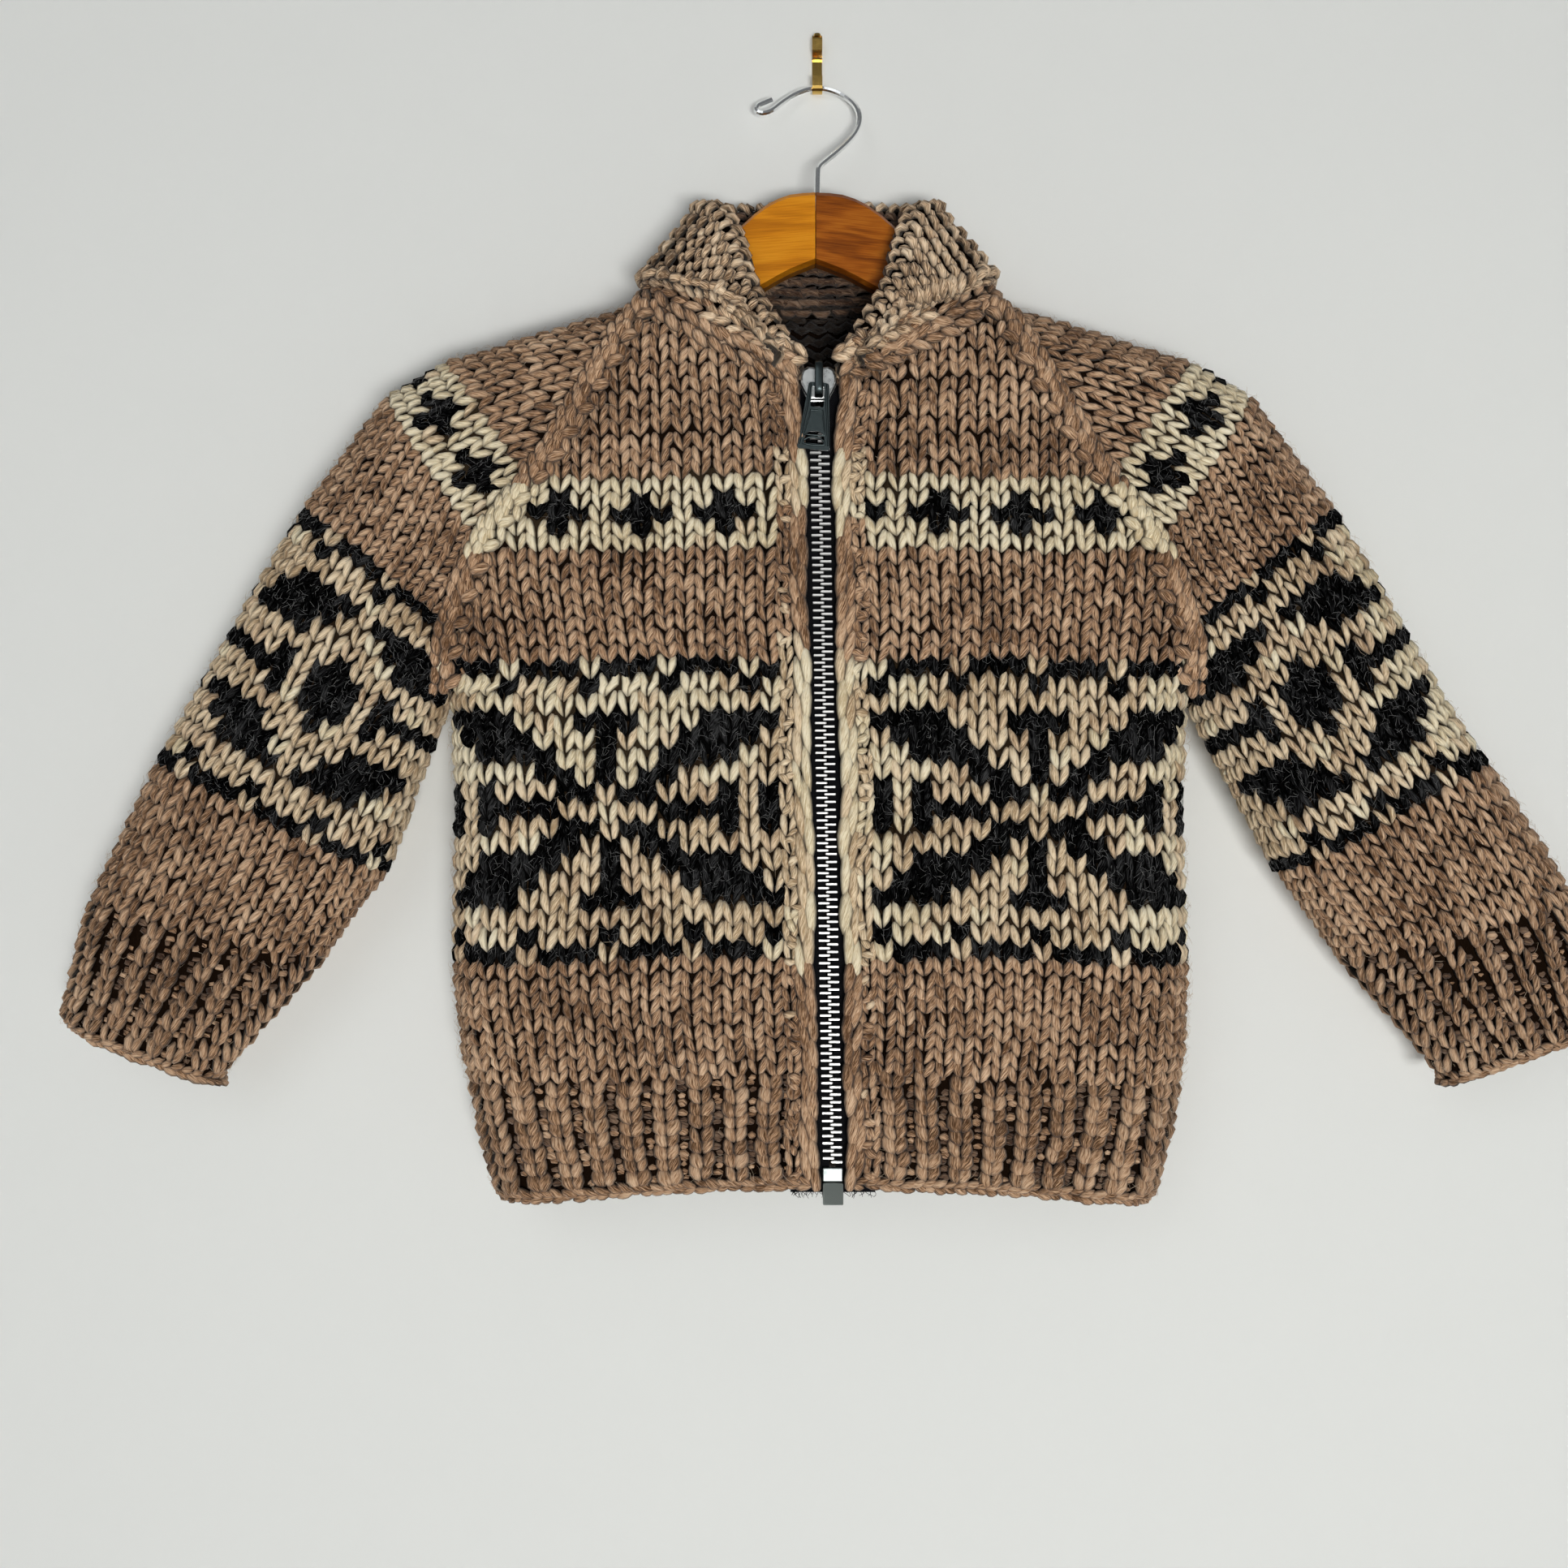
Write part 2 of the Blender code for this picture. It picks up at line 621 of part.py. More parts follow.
def slider(finish):
    """Wings that narrow to the chain, with the bridge that the pull turns in."""
    x, top, foot = zip_x(SLIDER_TOP_Z), SLIDER_TOP_Z, SLIDER_TOP_Z - SLIDER_HEIGHT
    wing, waist = SLIDER_TOP_WIDTH / 2, SLIDER_FOOT_WIDTH / 2
    outline = [(x - waist, foot), (x + waist, foot), (x + wing, top - 6.5), (x + wing * 0.62, top)]
    outline += [(x, top - 1.0), (x - wing * 0.62, top), (x - wing, top - 6.5)]
    high_y = TAPE_Y - TAPE_THICK / 2 - SEAM_GAP
    plate("slider", finish, [rounded(outline, 1.6)], slider_face(), high_y)
    # The bridge is an arch of three straight stretches, drawn in the YZ plane and as wide as the bar
    low, high = foot + 2.2, top + 3.0
    base = slider_face() - SEAM_GAP
    outer, inner = base - BRIDGE_RISE - BRIDGE_THICK, base - BRIDGE_RISE
    profile = [(base, high - 4.2), (outer + 0.6, high - 1.6), (outer, high - 2.6), (outer, low + 0.8), (base, low - 0.6)]
    profile += [(base, low + 1.6), (inner, low + 2.4), (inner, high - 6.6), (base, high - 7.4)]
    points = [(x + side * BRIDGE_WIDTH / 2, y, z) for side in (-1, 1) for y, z in profile]
    count = len(profile)
    faces = [tuple(range(count)), tuple(reversed(range(count, 2 * count)))]
    faces += [(i, (i + 1) % count, (i + 1) % count + count, i + count) for i in range(count)]
    return add_mesh("slider_bridge", points, faces, finish, smooth=False)


def pull(finish):
    """Tapering tab with a slot for the bridge near its head and an oval slot near its foot."""
    pin_x, pin_y, pin_z = pin_place()
    head, foot = PULL_HEAD_WIDTH / 2, PULL_FOOT_WIDTH / 2
    rim = [(-head, PULL_PIN_RADIUS), (head, PULL_PIN_RADIUS), (foot, 1.5 - PULL_LENGTH), (-foot, 1.5 - PULL_LENGTH)]
    slot_width = BRIDGE_WIDTH / 2 + SLOT_CLEARANCE
    slot = [(-slot_width, -PULL_PIN_RADIUS), (slot_width, -PULL_PIN_RADIUS), (slot_width, -11.6), (-slot_width, -11.6)]
    low = 1.5 - PULL_LENGTH + 3.0
    eye = [(-foot + 3.4, low + 4.2), (-3.0, low + 6.4), (3.0, low + 6.4), (foot - 3.4, low + 4.2)]
    eye += [(foot - 3.0, low), (-foot + 3.0, low)]
    outlines = [rounded(rim, 1.6), rounded(slot, 0.6, 2), rounded(eye, 1.2, 2)]
    lean = math.radians(PULL_LEAN)
    turned = []
    for outline in outlines:
        turned.append([
            (pin_x + x * math.cos(lean) + z * math.sin(lean), pin_z - x * math.sin(lean) + z * math.cos(lean))
            for x, z in outline
        ])
    return plate("pull_tab", finish, turned, pin_y - PULL_THICK / 2, pin_y + PULL_THICK / 2)


# ---------------------------------------------------------------- hanger and hooks


def hanger_half(name, sign, finish):
    """One wooden arm: a curved bar with softened edges."""
    rows = smooth_path([row for row in HANGER], 2)
    half = HANGER_THICK / 2
    chamfer = 2.2
    section = ((-half, chamfer), (-half + chamfer, 0), (half - chamfer, 0), (half, chamfer))
    points = []
    for x, top, bottom in rows:
        y = HANGER_Y - HANGER_FORWARD * x
        thin = 1.0 if x < 100 else 1.0 - 0.15 * (x - 100) / 65
        world_x = HANGER_JOINT_X * max(0.0, 1 - x / 60) + sign * x
        points += [(world_x, y + across * thin, top - down) for across, down in section]
        points += [(world_x, y + across * thin, bottom + down) for across, down in reversed(section)]
    around = 2 * len(section)
    faces = [tuple(range(around)), tuple(reversed(range(len(points) - around, len(points))))]
    for r in range(len(rows) - 1):
        for c in range(around):
            a, b = r * around + c, r * around + (c + 1) % around
            faces.append((a, b, b + around, a + around))
    return add_mesh(name, points, faces, finish)


def wire_hook(name, finish):
    """Round wire from the wood up over the wall hook to a curled end."""
    route = smooth_path([(x, WIRE_TOP_Y + (z - WIRE_ROUTE[11][1]) * WIRE_LEAN, z) for x, z in WIRE_ROUTE], 3)
    line = bpy.data.curves.new(name, "CURVE")
    line.dimensions = "3D"
    line.bevel_depth = WIRE_RADIUS * MM
    line.bevel_resolution = 2
    line.use_fill_caps = True
    spline = line.splines.new("POLY")
    spline.points.add(len(route) - 1)
    for point, place in zip(spline.points, route):
        point.co = (*(place * MM), 1.0)
    line.materials.append(finish)
    made = bpy.data.objects.new(name, line)
    bpy.context.scene.collection.objects.link(made)
    return made


def strip(name, finish, path, width, thickness, x=0.0):
    """A flat strip bent along a path of (y, z) points."""
    path = np.array(path, float)
    along = np.gradient(path, axis=0)
    along /= np.linalg.norm(along, axis=1)[:, None]
    across = np.stack([along[:, 1], -along[:, 0]], axis=1) * thickness / 2
    points = []
    for place, offset in zip(path, across):
        for y, z in (place - offset, place + offset):
            points += [(x - width / 2, y, z), (x + width / 2, y, z)]
    order = (0, 1, 3, 2)
    faces = [order, tuple(reversed([len(points) - 4 + i for i in order]))]
    for r in range(len(path) - 1):
        for a, b in zip(order, order[1:] + order[:1]):
            faces.append((4 * r + a, 4 * r + b, 4 * r + b + 4, 4 * r + a + 4))
    return add_mesh(name, points, faces, finish)


def wall_hook(finish, nail_finish):
    """Brass strip: a flat back on the wall, a cup for the wire, and a raised guide that holds the nail."""
    y = -PLATE_THICK / 2
    path = [(y, PLATE_TOP_Z), (y, -7.0), (y, PLATE_BEND_Z)]
    for step in range(1, 9):
        angle = math.pi * step / 9
        path.append((y - CUP_RADIUS + CUP_RADIUS * math.cos(angle), PLATE_BEND_Z - CUP_RADIUS * math.sin(angle)))
    path += [(y - 2 * CUP_RADIUS, PLATE_BEND_Z), (y - 2 * CUP_RADIUS - 0.5, CUP_LIP_Z)]
    strip("wall_hook", finish, path, PLATE_WIDTH, PLATE_THICK)
    base = -PLATE_THICK - SEAM_GAP - PLATE_THICK / 2
    guide = [(base, GUIDE_FOOT_Z), (base, GUIDE_FOOT_Z + 1.6), (base - GUIDE_RISE * 0.8, GUIDE_FOOT_Z + 4.4)]
    guide += [(base - GUIDE_RISE, GUIDE_TOP_Z - 0.8), (base - GUIDE_RISE, GUIDE_TOP_Z)]
    strip("nail_guide", finish, guide, PLATE_WIDTH, PLATE_THICK)
    head_y, head_z = base - GUIDE_RISE + 2.4, GUIDE_TOP_Z + 1.6
    shape = bmesh.new()
    bmesh.ops.create_cone(
        shape, cap_ends=True, segments=16, radius1=NAIL_HEAD_RADIUS * MM, radius2=NAIL_HEAD_RADIUS * 0.8 * MM, depth=1.6 * MM
    )
    bmesh.ops.translate(shape, vec=(0, head_y * MM, (head_z + 0.6) * MM), verts=shape.verts)
    mesh = bpy.data.meshes.new("nail_head")
    shape.to_mesh(mesh)
    shape.free()
    mesh.materials.append(nail_finish)
    made = bpy.data.objects.new("nail_head", mesh)
    bpy.context.scene.collection.objects.link(made)


# ---------------------------------------------------------------- the whole object

fawn = material("fawn_wool", (0.27, 0.17, 0.10), 0.95)
fawn_dark = material("fawn_wool_sleeve", (0.25, 0.16, 0.09), 0.95)
fawn_collar = material("fawn_wool_collar", (0.30, 0.20, 0.13), 0.95)
black_tape = material("black_tape", (0.01, 0.01, 0.012), 0.9)
silver = material("zip_silver", (0.75, 0.77, 0.78), 0.3, 1.0)
gunmetal = material("gunmetal", (0.10, 0.12, 0.13), 0.4, 1.0)
honey_wood = material("honey_wood", (0.55, 0.25, 0.06), 0.35)
red_wood = material("red_wood", (0.38, 0.13, 0.03), 0.35)
chrome = material("chrome", (0.80, 0.81, 0.82), 0.12, 1.0)
brass = material("brass", (0.72, 0.50, 0.16), 0.25, 1.0)

for side_name, side_sign in SIDES:
    front(f"front_{side_name}", side_sign, fawn)
    sleeve(f"sleeve_{side_name}", side_sign, fawn_dark)
back("back", fawn)
collar("collar", fawn_collar)
zip_parts(black_tape, silver, gunmetal)
hanger_half("hanger_right", -1, honey_wood)
hanger_half("hanger_left", 1, red_wood)
wire_hook("hanger_hook", chrome)
wall_hook(brass, gunmetal)
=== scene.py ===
"""Looks of a thick-knit zipped cardigan on a wooden hanger: its stitches, seams, teeth and fibres.

Lengths are millimetres where a name does not say otherwise, turned into metres where a mesh is made.
Left and right are the wearer's, so the left front lies at +X. A knitted panel is a net: a stitch's
place is (column, row) on it.
"""

import math

import bmesh
import bpy
import numpy as np
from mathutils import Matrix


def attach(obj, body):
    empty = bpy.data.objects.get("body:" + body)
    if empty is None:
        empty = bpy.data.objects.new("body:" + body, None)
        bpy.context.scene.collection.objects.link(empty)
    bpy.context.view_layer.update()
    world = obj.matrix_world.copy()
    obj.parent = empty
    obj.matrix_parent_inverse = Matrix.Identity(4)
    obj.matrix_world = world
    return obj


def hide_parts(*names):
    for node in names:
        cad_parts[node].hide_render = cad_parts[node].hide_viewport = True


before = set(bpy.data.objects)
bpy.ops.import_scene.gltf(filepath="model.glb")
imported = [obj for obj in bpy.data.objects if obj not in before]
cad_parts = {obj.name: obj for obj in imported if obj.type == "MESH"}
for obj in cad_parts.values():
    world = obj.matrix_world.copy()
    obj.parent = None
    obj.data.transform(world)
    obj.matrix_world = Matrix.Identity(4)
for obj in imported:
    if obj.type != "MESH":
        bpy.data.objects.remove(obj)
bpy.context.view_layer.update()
MM = 0.001
SIDES = (("right", -1), ("left", 1))
dice = np.random.default_rng(41)

# ---------------------------------------------------------------- form of the cloth, as in the frame

CLOTH = 6.0
MID_Y = -38.0
BODY_DEPTH = 29.0
SIDE_REACH = 30.0
RIDGE_REACH = 34.0
ARMPIT_REACH = 75.0
HEM_RIPPLE = 1.8
RIPPLE_LENGTH = 150.0
ZIP_STILL = 60.0
BODY_OUTLINE = (
    # z, half_width, middle_x
    (-357.0, 195.0, 0.0),
    (-422.0, 192.5, 0.0),
    (-500.0, 194.5, 1.0),
    (-543.0, 191.5, 2.5),
    (-582.0, 182.0, 3.5),
    (-628.0, 170.0, 3.5),
)
HEM_Z, HEM_DROP = -616.0, 10.0
ARMPIT_Z = BODY_OUTLINE[0][0]
RAGLAN = (
    # x, z
    (89.0, -158.0),
    (103.0, -179.0),
    (117.0, -201.0),
    (131.0, -226.0),
    (148.0, -250.0),
    (168.0, -275.0),
    (180.0, -300.0),
    (190.0, -328.0),
    (195.0, -357.0),
)
RIDGE = (
    # x, z
    (0.0, -118.0),
    (93.0, -151.0),
    (134.0, -162.0),
    (177.0, -176.0),
    (216.0, -191.0),
)
SLEEVE = (
    # outer_x, outer_z, inner_x, inner_z, half_depth, row counted from the cuff
    (93.0, -152.0, 89.0, -158.0, 29.0, 63.0),
    (198.0, -184.0, 148.0, -250.0, 29.0, 50.0),
    (229.0, -202.0, 177.0, -283.0, 28.5, 45.0),
    (274.0, -262.0, 190.0, -328.0, 28.0, 34.6),
    (295.0, -297.0, 195.0, -357.0, 27.0, 30.3),
    (348.0, -389.0, 229.0, -450.0, 25.0, 18.7),
    (387.0, -469.0, 264.0, -499.0, 22.5, 9.0),
    (401.0, -530.0, 318.0, -560.0, 21.0, 0.0),
)
SLEEVE_REACH = 30.0
LEFT_SWAY, LEFT_SWAY_HEIGHT = 14.0, 110.0
ZIP_TOP_Z, ZIP_TOP_X, ZIP_HEM_X = -197.0, -0.5, 7.0
EDGE_TO_ZIP, EDGE_TO_SLIDER, EDGE_OPENS_Z = 8.5, 12.0, -226.0
COLLAR_ROLL = 4.6
COLLAR = (
    # seam_x, seam_y, seam_z, fold_x, fold_y, fold_z, edge_x, edge_y, edge_z
    # from the zip to the back of the neck
    (13.0, -64.5, -195.0, 15.5, -66.5, -186.0, 18.5, -70.0, -189.0),
    (23.0, -64.5, -190.8, 23.0, -68.0, -172.0, 27.5, -73.0, -174.0),
    (35.0, -64.2, -185.3, 32.0, -68.5, -159.0, 39.0, -74.0, -162.0),
    (48.0, -64.0, -179.0, 39.5, -66.0, -143.0, 49.5, -75.0, -156.5),
    (62.0, -63.5, -171.5, 45.0, -60.0, -122.5, 62.5, -73.5, -152.0),
    (76.0, -60.5, -163.0, 51.5, -52.0, -107.0, 77.5, -67.0, -145.0),
    (86.0, -52.0, -154.0, 58.0, -45.0, -102.5, 88.5, -54.0, -140.0),
    (89.0, -38.0, -149.0, 61.5, -37.0, -100.5, 92.0, -38.5, -137.5),
    (85.5, -23.0, -152.5, 58.5, -28.0, -98.5, 88.5, -21.0, -136.5),
    (70.0, -15.0, -154.0, 47.0, -19.0, -96.5, 73.0, -10.0, -134.0),
    (40.0, -12.2, -152.2, 27.5, -15.5, -95.0, 41.5, -6.0, -132.0),
    (0.0, -12.0, -151.4, 0.0, -14.5, -94.5, 0.0, -4.5, -131.0),
)

# Knitting
BODY_COLUMNS = 18  # of one front; the back has twice as many
SELVEDGE = 15.0  # bumpy column and slanted edge beside the zip
SELVEDGE_COLUMNS = 1.5
BODY_ROWS = (
    # row counted from the hem, z
    (-1.0, -617.0),
    (0.0, -611.0),
    (8.0, -558.0),
    (17.0, -497.5),
    (34.0, -342.0),
    (42.0, -285.5),
    (47.0, -247.5),
    (60.0, -153.0),
)
YOKE_STITCH = (
    # z, stitch width
    (-266.0, 10.8),
    (-200.0, 10.3),
    (-150.0, 10.0),
)
SLEEVE_STITCH = 9.4
NET_STEP = 0.25
BODY_RIB_ROWS, SLEEVE_RIB_ROWS = 8, 9
BODY_TOP_ROW, SLEEVE_TOP_ROW = int(BODY_ROWS[-1][0]), int(SLEEVE[0][5])
SLEEVE_REACH_COLUMNS = 18.0  # widest that a sleeve's net goes to either side of the outer fold
SLEEVE_CLOTH_COLUMNS = 15.0
HEM_ROW = -0.3
CLOTH_ROWS = np.arange(-0.5, BODY_TOP_ROW, 1.0)
SLEEVE_CLOTH_ROWS = np.arange(-0.5, SLEEVE_TOP_ROW, 1.0)
BACK_NECK_Z, BACK_NECK_DROP = -148.0, 5.0
RAGLAN_PITCH, RAGLAN_BAND = 7.1, (-284.0, -250.0)
BODY_STITCH, BODY_ROW = 10.0, 7.3
NECK_FLAT, NECK_HALF = 12.0, 89.0


def read(table, value, key=0, wanted=1):
    """Linear reading of a table: the wanted column where the key column has this value."""
    rows = sorted(table, key=lambda row: row[key])
    return np.interp(value, [row[key] for row in rows], [row[wanted] for row in rows])


def unit(vectors):
    """The vectors, one or a row each, made one long."""
    return vectors / np.linalg.norm(vectors, axis=-1, keepdims=True)


def rise(distance, reach):
    """Share of the full depth this far from a fold: a quarter of an ellipse."""
    share = np.clip(np.asarray(distance, float) / reach, 0.0, 1.0)
    return np.sqrt(1 - (1 - share) ** 2)


def side_width(z):
    """Half width of the body at a height: to the side fold, or to the raglan seam above the armpit."""
    if z > ARMPIT_Z:
        return float(read(RAGLAN, z, key=1, wanted=0))
    return float(read(BODY_OUTLINE, z))


def middle_x(z):
    """Middle of the body, which swings aside towards the hem."""
    return float(read(BODY_OUTLINE, z, wanted=2))


def zip_x(z):
    """Middle of the zip, which leans."""
    return ZIP_TOP_X + (ZIP_HEM_X - ZIP_TOP_X) * (ZIP_TOP_Z - z) / (ZIP_TOP_Z - HEM_Z)


def edge_x(z, sign):
    """Knitted edge of a front beside the zip, further out where the slider needs room."""
    open_share = min(max((z - EDGE_OPENS_Z) / (ZIP_TOP_Z - EDGE_OPENS_Z), 0.0), 1.0)
    return zip_x(z) + sign * (EDGE_TO_ZIP + (EDGE_TO_SLIDER - EDGE_TO_ZIP) * open_share)


def body_depth(x, z, face):
    """Depth of the body's outer face from the plane of the side folds, for an array of x at one height."""
    from_side = side_width(z) - np.abs(x - middle_x(z))
    opening = float(rise(z - ARMPIT_Z, ARMPIT_REACH))
    turn = opening + (1 - opening) * rise(from_side, SIDE_REACH)
    low = max(ARMPIT_Z - z, 0.0) / (ARMPIT_Z - HEM_Z)
    still = np.minimum(np.abs(x - zip_x(z)) / ZIP_STILL, 1.0) if face < 0 else 1.0
    wave = HEM_RIPPLE * low * still * np.sin(2 * math.pi * (x / RIPPLE_LENGTH + 0.13 * face))
    ridge = rise(read(RIDGE, np.abs(x)) - z, RIDGE_REACH)
    return BODY_DEPTH * ridge * turn + wave * rise(from_side, 2 * SIDE_REACH)


def hem_sag(x, z):
    """The rows hang lower at the sides near the hem."""
    low = np.clip((ARMPIT_Z - z) / (ARMPIT_Z - HEM_Z), 0.0, 1.1)
    return HEM_DROP * low**2 * (x / 170.0) ** 2


def sleeve_half(place, sign, steps=90):
    """Half of one round of the sleeve, from its outer fold to its inner end: x, z and depth arrays."""
    at = [float(np.interp(place, range(len(SLEEVE)), [row[i] for row in SLEEVE])) for i in range(5)]
    outer, inner, half_depth = np.array(at[0:2]), np.array(at[2:4]), at[4]
    length = float(np.linalg.norm(outer - inner))
    open_seam = inner[1] > ARMPIT_Z
    reach = SLEEVE_REACH if open_seam else min(SLEEVE_REACH, length / 2)
    end_depth = 0.0
    if open_seam:
        seam_depth = float(body_depth(np.array([sign * inner[0]]), inner[1], -1)[0])
        end_depth = seam_depth / (half_depth * float(rise(length, reach)))
    q = 0.5 - 0.5 * np.cos(np.linspace(0, math.pi, steps))
    x = outer[0] + (inner[0] - outer[0]) * q
    z = outer[1] + (inner[1] - outer[1]) * q
    turn = end_depth + (1 - end_depth) * rise(length * (1 - q), reach)
    depth = half_depth * rise(length * q, reach) * turn
    share = np.clip((ARMPIT_Z - z) / LEFT_SWAY_HEIGHT, 0.0, 1.0)
    sway = LEFT_SWAY * share**2 * (3 - 2 * share) * (sign > 0)
    return sign * x + sway, z, depth


# ---------------------------------------------------------------- nets


class Net:
    """The outer face of a panel as a fine grid of points over (column, row), read between its points."""

    def __init__(self, columns, rows, points, outward):
        self.columns, self.rows, self.points = columns, rows, points
        across = np.gradient(points, axis=1)
        along = np.gradient(points, axis=0)
        normals = np.cross(across, along)
        normals /= np.maximum(np.linalg.norm(normals, axis=2), 1e-9)[..., None]
        if (normals * outward).sum() < 0:
            normals = -normals
        self.normals = normals

    def at(self, column, row, out=0.0):
        """Points, moved off the cloth by out, and normals at arrays of columns and rows. Lines waver."""
        column, row = np.asarray(column, float), np.asarray(row, float)
        column, row = (
            column + 0.09 * np.sin(0.53 * row + 1.1 * np.sin(0.41 * column)),
            row + 0.15 * np.sin(0.47 * column + 1.3 * np.sin(0.31 * row)) * np.clip(row / 4.0, 0.0, 1.0),
        )
        first, last, top = self.columns[0], self.columns[-1], self.rows[-1]
        c = (np.clip(column, first, last) - first) / NET_STEP
        r = (np.clip(row, self.rows[0], top) - self.rows[0]) / NET_STEP
        c0 = np.minimum(c.astype(int), len(self.columns) - 2)
        r0 = np.minimum(r.astype(int), len(self.rows) - 2)
        fc, fr = (c - c0)[..., None], (r - r0)[..., None]
        found = []
        for grid in (self.points, self.normals):
            low = grid[r0, c0] * (1 - fc) + grid[r0, c0 + 1] * fc
            high = grid[r0 + 1, c0] * (1 - fc) + grid[r0 + 1, c0 + 1] * fc
            found.append(low * (1 - fr) + high * fr)
        point, normal = found
        normal = normal / np.maximum(np.linalg.norm(normal, axis=-1), 1e-9)[..., None]
        return point + normal * np.asarray(out)[..., None], normal


def walk(path, distances):
    """Points at these distances along a path, going straight on past either end."""
    steps = np.linalg.norm(np.diff(path, axis=0), axis=1)
    run = np.concatenate([[0.0], np.cumsum(steps)])
    found = np.stack([np.interp(distances, run, path[:, i]) for i in range(3)], axis=1)
    first = (path[0] - path[3]) / np.linalg.norm(path[0] - path[3])
    last = (path[-1] - path[-4]) / np.linalg.norm(path[-1] - path[-4])
    found += np.maximum(-distances, 0.0)[:, None] * first
    found += np.maximum(distances - run[-1], 0.0)[:, None] * last
    return found, run[-1]


def stitch_width(z, length):
    """Width of a body stitch: the front's length shared out below the armpit, a table above it."""
    if z <= ARMPIT_Z:
        return (length - SELVEDGE) / BODY_COLUMNS
    table = ((ARMPIT_Z, ARMPIT_STITCH), *YOKE_STITCH)
    return float(read(table, z))


def front_path(z, sign, steps=110):
    """Points round one front at a height, from the zip to the side."""
    across = np.sin(np.linspace(0, math.pi / 2, steps))
    start, end = edge_x(z, sign), sign * side_width(z) + middle_x(z)
    x = start + (end - start) * across
    return np.stack([x, MID_Y - body_depth(x, z, -1), np.full(steps, z) - hem_sag(x, z)], axis=1)


ARMPIT_STITCH = (walk(front_path(ARMPIT_Z, 1), np.zeros(1))[1] - SELVEDGE) / BODY_COLUMNS


def front_net(sign):
    """Column 0 lies beside the zip's edge, and the side seam at the last column."""
    columns = np.arange(-SELVEDGE_COLUMNS, BODY_COLUMNS + 1.01, NET_STEP)
    rows = np.arange(-1.0, BODY_TOP_ROW + 1.01, NET_STEP)
    points, ends = [], []
    for row in rows:
        z = float(read(BODY_ROWS, row))
        path = front_path(z, sign)
        length = walk(path, np.zeros(1))[1]
        width = stitch_width(z, length)
        beside_zip = SELVEDGE * (1 + columns / SELVEDGE_COLUMNS)
        distances = np.where(columns < 0, beside_zip, SELVEDGE + columns * width)
        points.append(walk(path, distances)[0])
        ends.append((length - SELVEDGE) / width)
    net = Net(columns, rows, np.array(points), np.array([0.0, -1.0, 0.0]))
    net.ends = np.array(ends)
    return net


def back_net():
    """Columns run from the right side to the left; half of them lie on either side of the middle."""
    columns = np.arange(-1.0, 2 * BODY_COLUMNS + 1.01, NET_STEP)
    rows = np.arange(-1.0, BODY_TOP_ROW + 1.01, NET_STEP)
    points, ends = [], []
    for row in rows:
        z = float(read(BODY_ROWS, row))
        across = np.sin(np.linspace(-math.pi / 2, math.pi / 2, 221))
        x = middle_x(z) + side_width(z) * across
        path = np.stack([x, MID_Y + body_depth(x, z, 1), np.full(len(x), z) - hem_sag(x, z)], axis=1)
        length = walk(path, np.zeros(1))[1]
        width = length / (2 * BODY_COLUMNS) if z <= ARMPIT_Z else stitch_width(z, length)
        points.append(walk(path, length / 2 + (columns - BODY_COLUMNS) * width)[0])
        ends.append(length / 2 / width)
    net = Net(columns, rows, np.array(points), np.array([0.0, 1.0, 0.0]))
    net.ends = np.array(ends)
    return net


def sleeve_net(sign):
    """Column 0 lies at the outer fold; the front has columns above 0 and the back below 0."""
    columns = np.arange(-SLEEVE_REACH_COLUMNS, SLEEVE_REACH_COLUMNS + 0.01, NET_STEP)
    rows = np.arange(-1.0, SLEEVE_TOP_ROW + 0.01, NET_STEP)
    count_up = [row[5] for row in SLEEVE][::-1]
    points, ends = [], []
    for row in rows:
        place = float(np.interp(row, count_up, range(len(SLEEVE) - 1, -1, -1)))
        x, z, depth = sleeve_half(place, sign)
        if row < 0:
            x, z = x + sign * 3.0 * row, z + 6.5 * row
        front = np.stack([x, MID_Y - depth, z], axis=1)
        back = np.stack([x, MID_Y + depth, z], axis=1)
        length = walk(front, np.zeros(1))[1]
        path = np.concatenate([back[::-1], front[1:]])
        points.append(walk(path, length + columns * SLEEVE_STITCH)[0])
        ends.append(length / SLEEVE_STITCH)
    middle = np.array(points).mean(axis=1, keepdims=True)
    net = Net(columns, rows, np.array(points), np.array(points) - middle)
    net.ends = np.array(ends)
    return net


# ---------------------------------------------------------------- meshes


def link(name, data):
    """An object that holds this mesh, curve, lamp or camera, placed in the scene."""
    made = bpy.data.objects.new(name, data)
    bpy.context.scene.collection.objects.link(made)
    return made


def solid(name, points, faces, finish, rounded=False):
    """Closed mesh of one finish from points in millimetres, with its faces turned outward."""
    mesh = bpy.data.meshes.new(name)
    mesh.from_pydata([tuple(np.array(point) * MM) for point in points], [], faces)
    mesh.materials.append(finish)
    shape = bmesh.new()
    shape.from_mesh(mesh)
    bmesh.ops.recalc_face_normals(shape, faces=shape.faces)
    for face in shape.faces:
        face.smooth = rounded
    shape.to_mesh(mesh)
    shape.free()
    return link(name, mesh)


